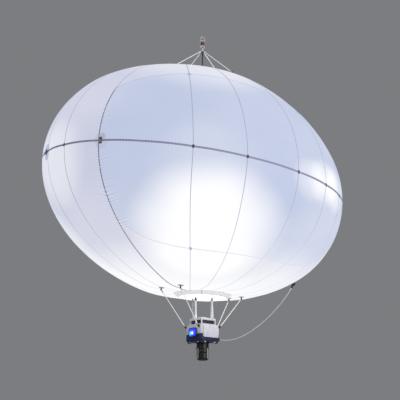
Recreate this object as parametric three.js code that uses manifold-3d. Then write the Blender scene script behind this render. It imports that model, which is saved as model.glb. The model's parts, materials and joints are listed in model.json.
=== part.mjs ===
// Balloon light: a lit fabric envelope hung from a swivel, with its supply box and blower below.
// Millimetres, +Z up. The origin is where a hook bears in the shackle, and azimuth 0 faces -Y.
import * as THREE from 'three';
import { mergeVertices } from 'three/addons/utils/BufferGeometryUtils.js';
import Module from 'manifold-3d';

const wasm = await Module();
wasm.setup();

const FIT = 0.3; // gap between pieces that bear on each other

// Envelope
const CENTRE_Z = -2690; // height of the envelope's middle
const RADIUS = 2535; // at the equator
const HALF_HEIGHT = 1965;
const WALL = 10;
const GORES = 20;
const STEPS_PER_GORE = 3;
const AROUND = GORES * STEPS_PER_GORE;
const GORE_CROWN = 9; // how far the middle of a gore stands out beyond its seams
const LEAN = 0.147; // how far the widest line falls per unit of its reach towards +X
const LEAN_GAIN = 0.085; // more of it towards the crown, and less towards the mouth
const GUY_PULL = 184; // how far the widest line is drawn towards -X
const PULL_GAIN = 79; // more of it towards the mouth, and less towards the crown
const BOTTOM_LIFT = 105; // the underside is flatter than an ellipsoid round the mouth
const FLAT_RADIUS = 950;
const FLAT_SHIFT = 60; // the flat part's middle is this far towards -X
const UPPER_RINGS = [90, 82, 74, 65, 56, 47, 38, 29, 20, 10, 0]; // latitudes, degrees
const LOWER_RINGS = [-9, -18, -27, -36, -45, -54, -63, -69, -73, -76, -78.9];
const MOUTH_RADIUS = 430;
const BAND_HEIGHT = 34;
const BAND_THICKNESS = 8;

// Mouth
const COLLAR_INNER = 392;
const COLLAR_OUTER = 488;
const COLLAR_DEPTH = 58;
const PANEL_RADIUS = COLLAR_INNER - 1.8;
const PANEL_TOP = -4590;
const PANEL_THICKNESS = 12;

// Supply box, square on plan and seen corner-on
const BOX_TURN = 40; // degrees
const BOX_SIDE = 400;
const BOX_CHAMFER = 26;
const HOUSING_TOP = -5080;
const BASE_TOP = -5233;
const BASE_BOTTOM = -5356;
const BASE_LIP = 4; // the base stands this far outside the housing
const FOOT_REACH = 158; // from the axis to each foot, along both sides
const RAIL_TOP = -4965;
const RAIL_SIDE = 308;
const RAIL_BAR = 22;

// Blower under the box
const DUCT_RADIUS = 100;
const DUCT_WALL = 10;
const DUCT_SIDES = 24;
const CLAMP_TOP = -5448;
const CASING_TOP = -5464;
const MOTOR_TOP = -5562;
const MOTOR_BOTTOM = -5653;
const SHAFT_RADIUS = 10;

// Shape helpers

function solidOf(geometry) {
  const bare = geometry.clone();
  bare.deleteAttribute('normal');
  bare.deleteAttribute('uv');
  const merged = mergeVertices(bare, 1e-3);
  const at = merged.attributes.position.array;
  const corners = merged.index.array;
  const kept = [];
  let volume = 0;
  for (let i = 0; i < corners.length; i += 3) {
    const [a, b, c] = [corners[i], corners[i + 1], corners[i + 2]];
    if (a === b || b === c || c === a) continue;
    kept.push(a, b, c);
    const p = new THREE.Vector3().fromArray(at, 3 * a);
    const q = new THREE.Vector3().fromArray(at, 3 * b);
    const r = new THREE.Vector3().fromArray(at, 3 * c);
    volume += p.dot(q.cross(r));
  }
  if (volume < 0) kept.reverse();
  return new wasm.Manifold(new wasm.Mesh({
    numProp: 3, vertProperties: new Float32Array(at), triVerts: new Uint32Array(kept),
  }));
}

function geometryOf(solid) {
  const mesh = solid.getMesh();
  const geometry = new THREE.BufferGeometry();
  geometry.setAttribute('position', new THREE.BufferAttribute(mesh.vertProperties, 3));
  geometry.setIndex(new THREE.BufferAttribute(mesh.triVerts, 1));
  geometry.computeVertexNormals();
  return geometry;
}

function join(...geometries) {
  return geometryOf(geometries.map(solidOf).reduce((sum, next) => sum.add(next)));
}

function cut(geometry, ...tools) {
  return geometryOf(tools.map(solidOf).reduce((rest, tool) => rest.subtract(tool), solidOf(geometry)));
}

function lathe(profile, sides) {
  const points = profile.map(([radius, height]) => new THREE.Vector2(radius, height));
  return new THREE.LatheGeometry(points, sides).rotateX(Math.PI / 2);
}

function box(width, depth, height, x = 0, y = 0, z = 0) {
  return new THREE.BoxGeometry(width, depth, height).translate(x, y, z);
}

function upright(radius, bottom, top, sides = 16, topRadius = radius) {
  const height = top - bottom;
  return new THREE.CylinderGeometry(topRadius, radius, height, sides)
    .rotateX(Math.PI / 2).translate(0, 0, bottom + height / 2);
}

function alongX(radius, length, sides = 12) {
  return new THREE.CylinderGeometry(radius, radius, length, sides).rotateZ(Math.PI / 2);
}

function ball(radius, x = 0, y = 0, z = 0) {
  return new THREE.SphereGeometry(radius, 10, 6).translate(x, y, z);
}

function rounded(width, height, corner) {
  const [w, h] = [width / 2, height / 2];
  const shape = new THREE.Shape();
  shape.moveTo(-w + corner, -h);
  shape.lineTo(w - corner, -h);
  shape.absarc(w - corner, -h + corner, corner, -Math.PI / 2, 0);
  shape.absarc(w - corner, h - corner, corner, 0, Math.PI / 2);
  shape.absarc(-w + corner, h - corner, corner, Math.PI / 2, Math.PI);
  shape.absarc(-w + corner, -h + corner, corner, Math.PI, 1.5 * Math.PI);
  return shape;
}

function plate(shape, thickness, curveSegments = 2) {
  return new THREE.ExtrudeGeometry(shape, { depth: thickness, bevelEnabled: false, curveSegments });
}

// A round tube along a curve
function tube(path, radius, steps, sides) {
  const section = new THREE.Shape().absarc(0, 0, radius, 0, 2 * Math.PI);
  return new THREE.ExtrudeGeometry(section, {
    extrudePath: path, steps, curveSegments: sides / 2, bevelEnabled: false,
  });
}

// A straight round rod between two balls, kept clear of both
function rodBetween(from, to, radius, clearFrom, clearTo, sides = 8) {
  const along = to.clone().sub(from);
  const length = along.length() - clearFrom - clearTo;
  const rod = new THREE.CylinderGeometry(radius, radius, length, sides);
  rod.translate(0, clearFrom + length / 2, 0);
  rod.applyQuaternion(new THREE.Quaternion().setFromUnitVectors(
    new THREE.Vector3(0, 1, 0), along.normalize()));
  return rod.translate(from.x, from.y, from.z);
}

const finish = (color, roughness, metalness = 0) =>
  new THREE.MeshStandardMaterial({ color, roughness, metalness });
const fabricWhite = () => finish(0xe4e9f5, 0.7);
const webbingGrey = () => finish(0x9a9ba0, 0.85);
const paintWhite = () => finish(0xe9ebee, 0.45);
const paintNavy = () => finish(0x1c2744, 0.5);
const steel = () => finish(0xb9bcc0, 0.35, 0.9);
const black = () => finish(0x17181a, 0.55);
const ropeWhite = () => finish(0xdcdcda, 0.9);

const balloonLight = new THREE.Group();
const envelopeGroup = new THREE.Group();
envelopeGroup.position.z = CENTRE_Z;
const boxGroup = new THREE.Group();
boxGroup.rotation.z = THREE.MathUtils.degToRad(BOX_TURN);
balloonLight.add(envelopeGroup, boxGroup);

function addPiece(parent, name, geometry, material) {
  const mesh = new THREE.Mesh(geometry, material);
  mesh.name = name;
  parent.add(mesh);
  return mesh;
}

// Hanging gear: the shackle and the eye stay still, all below the eye turns under them

const PIN_Z = -62;
const PIN_RADIUS = 9;
const BOW_WIRE = 9;
const BOW_HALF = 33; // from the axis to the middle of each leg
const BOSS_WIDTH = 18;
const SPINDLE_RADIUS = 10;
const SWIVEL_TOP = -90;
const SHOULDER_Z = -110;
const SWIVEL_BOTTOM = -138;
const LOBE_Z = -148;
const LOBE_HOLE = 12;
const RING_WIRE = 8;
const RING_RADIUS = 30;
const LOBE_WIDTH = 14;
const RING_CURL = 1.2; // how far the ring's wire curves away over half a lobe's width
const RING_Z = LOBE_Z - LOBE_HOLE + RING_WIRE + RING_CURL - RING_RADIUS;
const HUB_Z = -243;
const HUB_RADIUS = 24;

function addShackle() {
  const bend = BOW_WIRE - BOW_HALF; // height of the bend's centre, so the inside top is at zero
  const path = new THREE.CurvePath();
  const legBottom = PIN_Z + 12;
  path.add(new THREE.LineCurve3(
    new THREE.Vector3(-BOW_HALF, 0, legBottom), new THREE.Vector3(-BOW_HALF, 0, bend)));
  const arc = [];
  for (let degrees = 180; degrees >= 0; degrees -= 30) {
    const turn = THREE.MathUtils.degToRad(degrees);
    arc.push(new THREE.Vector3(BOW_HALF * Math.cos(turn), 0, bend + BOW_HALF * Math.sin(turn)));
  }
  path.add(new THREE.CatmullRomCurve3(arc));
  path.add(new THREE.LineCurve3(
    new THREE.Vector3(BOW_HALF, 0, bend), new THREE.Vector3(BOW_HALF, 0, legBottom)));
  const bosses = [-1, 1].map((side) => alongX(18, BOSS_WIDTH).translate(side * BOW_HALF, 0, PIN_Z));
  const hole = alongX(PIN_RADIUS + 0.5, 120).translate(0, 0, PIN_Z);
  addPiece(balloonLight, 'shackle_bow', cut(join(tube(path, BOW_WIRE, 14, 8), ...bosses), hole), steel());

  const outer = BOW_HALF + BOSS_WIDTH / 2 + FIT;
  const headLength = 10;
  const ends = [-1, 1].map((side) =>
    alongX(14, headLength, 6).translate(side * (outer + headLength / 2), 0, PIN_Z));
  const pin = alongX(PIN_RADIUS, 2 * outer + headLength).translate(0, 0, PIN_Z);
  addPiece(balloonLight, 'shackle_pin', join(pin, ...ends), steel());
}

function addSwivel() {
  const eyeZ = PIN_Z - 0.1;
  const eye = cut(alongX(22, 30, 16).translate(0, 0, eyeZ),
    alongX(PIN_RADIUS + 0.4, 40).translate(0, 0, eyeZ));
  const flangeTop = SHOULDER_Z - FIT;
  const spindle = lathe([
    [0, PIN_Z - 16], [SPINDLE_RADIUS, PIN_Z - 16], [SPINDLE_RADIUS, flangeTop],
    [18, flangeTop], [18, flangeTop - 8], [0, flangeTop - 8]], 24);
  addPiece(balloonLight, 'swivel_eye', join(eye, spindle), steel());

  const bore = SPINDLE_RADIUS + 0.6;
  const cavity = 19;
  const cavityFloor = SHOULDER_Z - 15;
  const body = lathe([
    [bore, SHOULDER_Z], [bore, SWIVEL_TOP], [24, SWIVEL_TOP], [30, SWIVEL_TOP - 6],
    [30, SWIVEL_BOTTOM + 8], [20, SWIVEL_BOTTOM - 4], [0, SWIVEL_BOTTOM - 4], [0, cavityFloor],
    [cavity, cavityFloor], [cavity, SHOULDER_Z], [bore, SHOULDER_Z]], 24);
  const lobe = alongX(22, LOBE_WIDTH).translate(0, 0, LOBE_Z);
  const hole = alongX(LOBE_HOLE, 60).translate(0, 0, LOBE_Z);
  addPiece(balloonLight, 'swivel_housing', cut(join(body, lobe), hole), finish(0xb3181c, 0.4));
}

function addMasterRingAndHub() {
  const ring = new THREE.TorusGeometry(RING_RADIUS, RING_WIRE, 8, 20).rotateX(Math.PI / 2);
  addPiece(balloonLight, 'master_ring', ring.translate(0, 0, RING_Z), steel());
  const eyeZ = RING_Z - RING_RADIUS + RING_WIRE + RING_CURL - LOBE_HOLE;
  const eye = alongX(19, LOBE_WIDTH).translate(0, 0, eyeZ);
  const hole = alongX(LOBE_HOLE, 60).translate(0, 0, eyeZ);
  addPiece(balloonLight, 'bridle_hub', cut(join(eye, ball(HUB_RADIUS, 0, 0, HUB_Z)), hole), steel());
}

// Envelope

const GORE_ANGLE = 2 * Math.PI / GORES;

// Bulges the gores and leans the round body to the shape that the guys pull it into
function hangFabric(x, y, z) {
  const radius = Math.hypot(x, y);
  const share = Math.atan2(x, -y) / GORE_ANGLE;
  const crown = GORE_CROWN * Math.abs(Math.sin(Math.PI * share)) * (radius / RADIUS) ** 2;
  const grow = radius > 0 ? 1 + crown / radius : 1;
  const level = Math.min(1, Math.max(-1, z / HALF_HEIGHT));
  const pull = (GUY_PULL - PULL_GAIN * level) * (1 - level ** 2) ** 1.5;
  const inward = 1 - Math.min(1, radius / RADIUS);
  const fall = (LEAN + LEAN_GAIN * level) * x * (1 - inward ** 2);
  const flatness = Math.max(0, 1 - (Math.hypot(x + FLAT_SHIFT, y) / FLAT_RADIUS) ** 2);
  const lift = z < 0 ? BOTTOM_LIFT * flatness ** 1.5 : 0;
  return new THREE.Vector3(x * grow - pull, y * grow, z - fall + lift);
}

function hang(geometry) {
  const at = geometry.attributes.position;
  for (let i = 0; i < at.count; i += 1) {
    const moved = hangFabric(at.getX(i), at.getY(i), at.getZ(i));
    at.setXYZ(i, moved.x, moved.y, moved.z);
  }
  return geometry;
}

// A point of the ellipsoid's section at a latitude, moved out along its normal
function skinPoint(degrees, out) {
  const latitude = THREE.MathUtils.degToRad(degrees);
  const [across, up] = [Math.cos(latitude), Math.sin(latitude)];
  const normal = new THREE.Vector2(across / RADIUS, up / HALF_HEIGHT).normalize();
  return [RADIUS * across + out * normal.x, HALF_HEIGHT * up + out * normal.y];
}

function skinHeight(radius) {
  return -HALF_HEIGHT * Math.sqrt(1 - (radius / RADIUS) ** 2);
}

function addEnvelope() {
  const mouthLatitude = -THREE.MathUtils.radToDeg(Math.acos(MOUTH_RADIUS / RADIUS));
  const rings = [...UPPER_RINGS, ...LOWER_RINGS, mouthLatitude];
  const outside = rings.map((latitude) => skinPoint(latitude, 0));
  const inside = rings.map((latitude) => skinPoint(latitude, -WALL)).reverse();
  outside[0][0] = 0;
  inside[inside.length - 1][0] = 0;
  const shell = geometryOf(solidOf(hang(lathe([...outside, ...inside], AROUND))));
  addPiece(envelopeGroup, 'envelope', shell, fabricWhite());

  const inner = RADIUS + FIT;
  const outer = inner + BAND_THICKNESS;
  const half = BAND_HEIGHT / 2;
  const band = hang(lathe([
    [inner, -half], [outer, -half], [outer, half], [inner, half], [inner, -half]], AROUND));
  addPiece(envelopeGroup, 'equator_band', geometryOf(solidOf(band)), webbingGrey());
}

function addMouth() {
  const belowSkin = (radius, depth) => [radius, skinHeight(radius) - depth];
  const seam = 0.5; // between the sleeve and the fabric over it
  const hem = 10; // width of the sleeve's lower edge
  const shoulder = 24; // depth at which the sleeve's inside starts to widen
  const collar = hang(lathe([
    belowSkin(COLLAR_INNER, shoulder), belowSkin(COLLAR_INNER, COLLAR_DEPTH),
    belowSkin(COLLAR_INNER + hem, COLLAR_DEPTH), belowSkin(COLLAR_OUTER, seam),
    belowSkin(MOUTH_RADIUS + 1.5, seam), belowSkin(COLLAR_INNER, shoulder)], AROUND));
  addPiece(envelopeGroup, 'mouth_collar', geometryOf(solidOf(collar)), finish(0xc9c6c0, 0.85));

  const panel = upright(PANEL_RADIUS, PANEL_TOP - PANEL_THICKNESS, PANEL_TOP, AROUND);
  addPiece(balloonLight, 'mouth_panel', panel, fabricWhite());
}

// Where a line from outside meets the envelope, and which way the fabric faces there
function fabricSeat(azimuth, radius, side) {
  const turn = THREE.MathUtils.degToRad(azimuth);
  const x = radius * Math.sin(turn);
  const y = -radius * Math.cos(turn);
  const ray = new THREE.Raycaster(
    new THREE.Vector3(x, y, CENTRE_Z + side * 2 * HALF_HEIGHT), new THREE.Vector3(0, 0, -side));
  const envelope = balloonLight.getObjectByName('envelope');
  balloonLight.updateMatrixWorld(true);
  const hit = ray.intersectObject(envelope)[0];
  return { point: hit.point, normal: hit.face.normal.clone() };
}

const PATCH_GAP = 0.7; // under a flat patch plate, because the fabric's facets are slightly warped
const KNOB_RADIUS = 14;
const KNOB_HEIGHT = 34;

// A round patch plate on the fabric with a knob that a line is spliced to
function fabricAnchor(radius) {
  const disc = upright(radius, PATCH_GAP, PATCH_GAP + 8, 14);
  const stem = upright(8, PATCH_GAP + 1, KNOB_HEIGHT, 6);
  return join(disc, stem, ball(KNOB_RADIUS, 0, 0, KNOB_HEIGHT));
}

function addFabricAnchor(name, seat, plateRadius) {
  const anchor = addPiece(balloonLight, name, fabricAnchor(plateRadius), steel());
  anchor.position.copy(seat.point);
  anchor.quaternion.setFromUnitVectors(new THREE.Vector3(0, 0, 1), seat.normal);
  return seat.point.clone().addScaledVector(seat.normal, KNOB_HEIGHT);
}

const CROWN_RISE = 1.25; // the leaning fabric rises this far under the crown plate's -X rim
const CROWN_ANCHOR_RADIUS = 720;
const CROWN_AZIMUTHS = [43.3, 136.7, 223.3, 316.7];
const LINE_RADIUS = 7;
const TETHER_RADIUS = 13;

function addCrown() {
  const seat = CENTRE_Z + HALF_HEIGHT + CROWN_RISE;
  const hubTop = seat + 45;
  const crown = lathe([
    [0, seat], [140, seat], [150, seat + 6], [60, seat + 14], [34, seat + 22],
    [28, hubTop], [0, hubTop]], 20);
  addPiece(balloonLight, 'crown_plate', geometryOf(solidOf(crown)), finish(0x8d9096, 0.6));
  const tether = upright(TETHER_RADIUS, hubTop + FIT, HUB_Z - HUB_RADIUS - FIT, 10);
  addPiece(balloonLight, 'crown_tether', tether, finish(0x3c3c44, 0.8));

  const hub = new THREE.Vector3(0, 0, HUB_Z);
  CROWN_AZIMUTHS.forEach((azimuth, index) => {
    const place = fabricSeat(azimuth, CROWN_ANCHOR_RADIUS, 1);
    const knob = addFabricAnchor(`crown_anchor_${index + 1}`, place, 60);
    const line = rodBetween(hub, knob, LINE_RADIUS, HUB_RADIUS + FIT, KNOB_RADIUS + FIT);
    addPiece(balloonLight, `bridle_${index + 1}`, line, ropeWhite());
  });
}

const GUY_FACETS = [-12, -6, 17, 23, 31, 38]; // which flats of the band, counted from azimuth 0
const GUY_PLATE = { width: 56, thickness: 8, height: 104 };
const GUY_GAP = 1; // behind an upright guy plate, because the band leans a little
const GUY_LUG = { width: 9, rim: 20, reach: 26, drop: 14, hole: 11.5 };

// Guy plates stand upright on flats of the equator band, each with an eye for a rope
function addGuyPlates() {
  const reach = RADIUS + FIT + BAND_THICKNESS;
  const corner = (step) => {
    const turn = 2 * Math.PI * step / AROUND;
    return hangFabric(reach * Math.sin(turn), -reach * Math.cos(turn), 0);
  };
  GUY_FACETS.forEach((facet, index) => {
    const start = corner(facet);
    const along = corner(facet + 1).sub(start);
    const turn = Math.atan2(along.y, along.x);
    const outward = new THREE.Vector3(Math.sin(turn), -Math.cos(turn), 0);
    const { width, thickness, height } = GUY_PLATE;
    const backing = box(width, thickness, height, 0, -thickness / 2, 0);
    const { rim, reach: out, drop } = GUY_LUG;
    const lug = box(GUY_LUG.width, out, 2 * rim, 0, -out / 2, -drop);
    const end = alongX(rim, GUY_LUG.width, 16).translate(0, -out, -drop);
    const eye = alongX(GUY_LUG.hole, 2 * width).translate(0, -out, -drop);
    const geometry = cut(join(backing, lug, end), eye);
    const guyPlate = addPiece(envelopeGroup, `guy_plate_${index + 1}`, geometry, steel());
    guyPlate.position.copy(start).addScaledVector(along, 0.5).addScaledVector(outward, GUY_GAP);
    guyPlate.rotation.z = turn;
  });
}

// Supply box

function chamferedSquare(side, chamfer) {
  const h = side / 2;
  const c = h - chamfer;
  const shape = new THREE.Shape();
  shape.moveTo(-c, -h);
  [[c, -h], [h, -c], [h, c], [c, h], [-c, h], [-h, c], [-h, -c]].forEach(([x, y]) => shape.lineTo(x, y));
  return shape;
}

function addBox() {
  const housing = plate(chamferedSquare(BOX_SIDE, BOX_CHAMFER), HOUSING_TOP - BASE_TOP - FIT);
  addPiece(boxGroup, 'housing', housing.translate(0, 0, BASE_TOP + FIT), paintWhite());

  const lip = 14;
  const baseSide = BOX_SIDE + 2 * BASE_LIP;
  const tray = plate(chamferedSquare(baseSide, BOX_CHAMFER), BASE_TOP - BASE_BOTTOM - lip);
  const sole = plate(chamferedSquare(baseSide - 2 * lip, BOX_CHAMFER - 6), 2 * lip);
  const feet = [[-1, -1], [1, -1], [1, 1], [-1, 1]].map(([x, y]) =>
    upright(24, BASE_BOTTOM - 22, BASE_BOTTOM + 4, 16, 28).translate(x * FOOT_REACH, y * FOOT_REACH, 0));
  const base = join(tray.translate(0, 0, BASE_BOTTOM + lip), sole.translate(0, 0, BASE_BOTTOM), ...feet);
  addPiece(boxGroup, 'base', base, paintNavy());

  const inner = RAIL_SIDE - 2 * RAIL_BAR;
  const railBottom = HOUSING_TOP + FIT;
  const tall = RAIL_TOP - railBottom;
  const windowHeight = 62;
  const windowZ = railBottom + 18 + windowHeight / 2;
  const longWindow = box(272, 500, windowHeight, 0, 0, windowZ);
  const windows = [-72, 72].map((offset) => box(500, 128, windowHeight, 0, offset, windowZ));
  const rails = cut(box(RAIL_SIDE, RAIL_SIDE, tall, 0, 0, railBottom + tall / 2),
    box(inner, inner, 2 * tall, 0, 0, railBottom), longWindow, ...windows);
  addPiece(boxGroup, 'rail_frame', rails, paintWhite());

  const domeTop = RAIL_TOP + 30;
  const dome = lathe([
    [0, railBottom], [128, railBottom], [128, domeTop - 62], [118, domeTop - 40],
    [84, domeTop - 16], [40, domeTop - 4], [0, domeTop]], 20);
  addPiece(boxGroup, 'roof_dome', geometryOf(solidOf(dome)), paintWhite());
}

const POST_LINE = (RAIL_SIDE - RAIL_BAR) / 2; // from the axis to the middle of a rail
const POSTS = [[-POST_LINE, 10], [84, -POST_LINE], [POST_LINE, -70], [-96, POST_LINE]];

function addPosts() {
  const foot = RAIL_TOP + FIT;
  const head = PANEL_TOP - PANEL_THICKNESS - FIT;
  POSTS.forEach(([x, y], index) => {
    const post = geometryOf(solidOf(lathe([
      [0, foot], [20, foot], [20, foot + 8], [27, foot + 30], [18, foot + 70], [17, head - 8],
      [34, head - 8], [34, head], [0, head]], 12)));
    const piece = addPiece(boxGroup, `post_${index + 1}`, post, paintWhite());
    piece.position.set(x, y, 0);
  });
}

const FACE = BOX_SIDE / 2 + BASE_LIP; // the base's side faces

// Turns a plate drawn upright in X and Z to stand on the side that faces -Y or -X
function onSide(geometry, side) {
  geometry.rotateX(Math.PI / 2).translate(0, -FACE - FIT, 0);
  return side === '-X' ? geometry.rotateZ(-Math.PI / 2) : geometry;
}

function addBoxFittings() {
  const cover = onSide(plate(rounded(326, 196, 24), 12), '-Y');
  addPiece(boxGroup, 'side_cover', cover.translate(0, 0, -5191), paintWhite());

  const bezelDepth = 24;
  const lensInset = 14;
  const [lensWidth, lensHeight, lensCorner] = [166, 126, 30];
  const lensHole = plate(rounded(lensWidth + 1, lensHeight + 1, lensCorner), bezelDepth)
    .translate(0, 0, bezelDepth - lensInset);
  const bezel = cut(plate(rounded(196, 154, 42), bezelDepth), lensHole);
  const lens = plate(rounded(lensWidth, lensHeight, lensCorner - 0.5), lensInset - 4)
    .translate(0, 0, bezelDepth - lensInset + FIT);
  const lampZ = -5206;
  const lampY = -4;
  addPiece(boxGroup, 'lamp_bezel', onSide(bezel, '-X').translate(0, lampY, lampZ), finish(0x20345c, 0.4));
  addPiece(boxGroup, 'lamp_lens', onSide(lens, '-X').translate(0, lampY, lampZ), finish(0x2f59ff, 0.2));
}

// Stays from the box to the underside of the envelope.
// Foot x and y are on plan in the box's own turned frame, then the anchor's azimuth and radius.
const STAYS = [
  { name: 'front_left', footX: -200, footY: -150, azimuth: -25, radius: 840 },
  { name: 'back_left', footX: -191, footY: 191, azimuth: -57, radius: 805 },
  { name: 'front_right', footX: 191, footY: -191, azimuth: 100, radius: 660 },
  { name: 'back_right', footX: 200, footY: -106, azimuth: 127, radius: 560 },
];
const STAY_FOOT_Z = -5108;
const STAY_BLOCK = 16;

function addStays() {
  STAYS.forEach(({ name, footX, footY, azimuth, radius }) => {
    const onCorner = Math.abs(footX) === Math.abs(footY);
    const facing = onCorner ? Math.atan2(footY, footX) : (footX < 0 ? Math.PI : 0);
    const side = BOX_SIDE / 2;
    const reach = onCorner ? Math.SQRT2 * (side - BOX_CHAMFER / 2) : side;
    const block = box(STAY_BLOCK, 32, 44, reach + FIT + STAY_BLOCK / 2, 0, 0);
    const knob = ball(KNOB_RADIUS, reach + STAY_BLOCK + 10, 0, 6);
    const foot = addPiece(boxGroup, `stay_foot_${name}`, join(block, knob), black());
    foot.rotation.z = facing;
    foot.position.set(0, onCorner ? 0 : footY, STAY_FOOT_Z);
    balloonLight.updateMatrixWorld(true);
    const start = foot.localToWorld(new THREE.Vector3(reach + STAY_BLOCK + 10, 0, 6));
    const end = addFabricAnchor(`stay_anchor_${name}`, fabricSeat(azimuth, radius, -1), 32);
    const stay = rodBetween(start, end, LINE_RADIUS, KNOB_RADIUS + FIT, KNOB_RADIUS + FIT);
    addPiece(balloonLight, `stay_${name}`, stay, ropeWhite());
  });
}

// Blower

const STRIP_AZIMUTHS = [60, 120, 240, 300]; // guard strips that hang from the clamp ring

function addBlower() {
  const neckTop = BASE_BOTTOM - FIT;
  const inner = DUCT_RADIUS - DUCT_WALL;
  const neck = lathe([
    [inner, CLAMP_TOP + FIT], [DUCT_RADIUS, CLAMP_TOP + FIT], [DUCT_RADIUS, neckTop - 10],
    [DUCT_RADIUS + 14, neckTop - 10], [DUCT_RADIUS + 14, neckTop], [inner, neckTop],
    [inner, CLAMP_TOP + FIT]], DUCT_SIDES);
  addPiece(balloonLight, 'blower_neck', geometryOf(solidOf(neck)), black());

  const clampBottom = CASING_TOP + FIT;
  const ring = lathe([
    [inner, clampBottom], [DUCT_RADIUS + 8, clampBottom], [DUCT_RADIUS + 8, CLAMP_TOP],
    [inner, CLAMP_TOP], [inner, clampBottom]], DUCT_SIDES);
  const clipZ = (CLAMP_TOP + clampBottom) / 2;
  const clips = [-1, 1].map((side) => box(30, 36, 24, side * (DUCT_RADIUS + 16), 0, clipZ));
  const strips = STRIP_AZIMUTHS.map((azimuth) => {
    const top = clipZ;
    const bottom = MOTOR_BOTTOM + 26;
    const out = DUCT_RADIUS + 6;
    return box(24, 6, top - bottom, 0, -out, (top + bottom) / 2)
      .rotateZ(THREE.MathUtils.degToRad(azimuth));
  });
  addPiece(balloonLight, 'clamp_ring', join(ring, ...clips, ...strips), finish(0x2b2c30, 0.4, 0.4));

  const slotCount = 16;
  const slotHeight = 66;
  const slotZ = (CASING_TOP + MOTOR_TOP) / 2;
  const slots = [];
  for (let i = 0; i < slotCount / 2; i += 1) {
    const turn = 2 * Math.PI * (i + 0.5) / slotCount;
    slots.push(box(20, 400, slotHeight).rotateZ(turn).translate(0, 0, slotZ));
  }
  const casing = lathe([
    [inner, MOTOR_TOP + FIT], [DUCT_RADIUS, MOTOR_TOP + FIT], [DUCT_RADIUS, CASING_TOP],
    [inner, CASING_TOP], [inner, MOTOR_TOP + FIT]], DUCT_SIDES);
  addPiece(balloonLight, 'intake_casing', cut(casing, ...slots), black());

  const shaftTop = MOTOR_TOP + 62;
  const motor = lathe([
    [0, MOTOR_BOTTOM], [62, MOTOR_BOTTOM], [87, MOTOR_BOTTOM + 10], [96, MOTOR_BOTTOM + 30],
    [DUCT_RADIUS, MOTOR_BOTTOM + 44], [DUCT_RADIUS, MOTOR_TOP], [SHAFT_RADIUS, MOTOR_TOP],
    [SHAFT_RADIUS, shaftTop], [0, shaftTop]], DUCT_SIDES);
  addPiece(balloonLight, 'blower_motor', geometryOf(solidOf(motor)), black());

  const rotorBottom = MOTOR_TOP + 8;
  const hubTop = shaftTop + 8;
  const hub = lathe([
    [SHAFT_RADIUS + 0.5, rotorBottom], [82, rotorBottom], [82, rotorBottom + 4],
    [26, rotorBottom + 8], [26, hubTop], [0, hubTop], [0, shaftTop + FIT],
    [SHAFT_RADIUS + 0.5, shaftTop + FIT], [SHAFT_RADIUS + 0.5, rotorBottom]], 24);
  const blades = [];
  for (let i = 0; i < 11; i += 1) {
    const blade = box(58, 4, 52, 54, 0, rotorBottom + 2 + 26);
    blades.push(blade.rotateZ(2 * Math.PI * i / 11));
  }
  addPiece(balloonLight, 'fan_rotor', join(hub, ...blades), finish(0x55585e, 0.5, 0.3));
}

// Supply cable, from a gland low on the box to an inlet on the underside of the envelope

const CABLE_RADIUS = 9;
const GLAND_Y = -130; // along the box's side, in its turned frame
const GLAND_NUT = 16;
const CABLE_ROUTE = [
  [285.8, 70.1, -5308], [316.4, 95.8, -5308.5], [354, 126, -5309], [405, 155, -5306],
  [514, 207, -5289], [637, 250, -5243], [755, 291, -5176], [895, 340, -5078],
  [1037, 392, -4963], [1174, 447, -4828], [1309, 506, -4674], [1415, 557, -4534],
  [1496, 605.7, -4422.7], [1530, 626.3, -4353.3]];
const INLET_SEAT = { azimuth: 112.4, radius: 1678 };

function addCable() {
  const points = CABLE_ROUTE.map(([x, y, z]) => new THREE.Vector3(x, y, z));
  const route = new THREE.CatmullRomCurve3(points, false, 'centripetal');
  const cable = tube(route, CABLE_RADIUS, 40, 10);
  addPiece(balloonLight, 'supply_cable', geometryOf(solidOf(cable)), finish(0x2a2b2e, 0.6));

  const [x, y, z] = CABLE_ROUTE[0];
  const glandEnd = Math.hypot(x, y) * Math.cos(Math.atan2(y, x) - boxGroup.rotation.z) - FIT;
  const nutEnd = FACE + FIT + GLAND_NUT;
  const nut = alongX(19, GLAND_NUT, 6).translate(nutEnd - GLAND_NUT / 2, 0, 0);
  const boot = new THREE.CylinderGeometry(11, 15, glandEnd - nutEnd + 4, 12)
    .rotateZ(-Math.PI / 2).translate((glandEnd + nutEnd - 4) / 2, 0, 0);
  addPiece(boxGroup, 'cable_gland', join(nut, boot), black()).position.set(0, GLAND_Y, z);

  const seat = fabricSeat(INLET_SEAT.azimuth, INLET_SEAT.radius, -1);
  const inlet = addPiece(balloonLight, 'cable_inlet', upright(70, PATCH_GAP, PATCH_GAP + 8, 16), black());
  inlet.position.copy(seat.point);
  inlet.quaternion.setFromUnitVectors(new THREE.Vector3(0, 0, 1), seat.normal);
  inlet.updateMatrixWorld(true);
  const end = inlet.worldToLocal(points[points.length - 1].clone());
  const before = inlet.worldToLocal(points[points.length - 2].clone());
  const travel = end.clone().sub(before).normalize();
  const core = end.clone().addScaledVector(travel, 95);
  const taper = new THREE.CylinderGeometry(20, 11, 95 - FIT, 12)
    .translate(0, (95 + FIT) / 2, 0)
    .applyQuaternion(new THREE.Quaternion().setFromUnitVectors(new THREE.Vector3(0, 1, 0), travel))
    .translate(end.x, end.y, end.z);
  const body = upright(34, PATCH_GAP + 4, core.z + 22, 12).translate(core.x, core.y, 0);
  inlet.geometry = join(inlet.geometry, taper, body);
}

// The lamp unit is closed in the envelope: one plain block at its place
function addLampUnit() {
  const bottom = PANEL_TOP + FIT;
  const unit = lathe([
    [0, bottom], [120, bottom], [120, bottom + 14], [35, bottom + 14], [35, -3350],
    [150, -3350], [150, -2960], [0, -2960]], 16);
  addPiece(balloonLight, 'lamp_unit', geometryOf(solidOf(unit)), finish(0xf4f4f0, 0.4));
}

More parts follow.
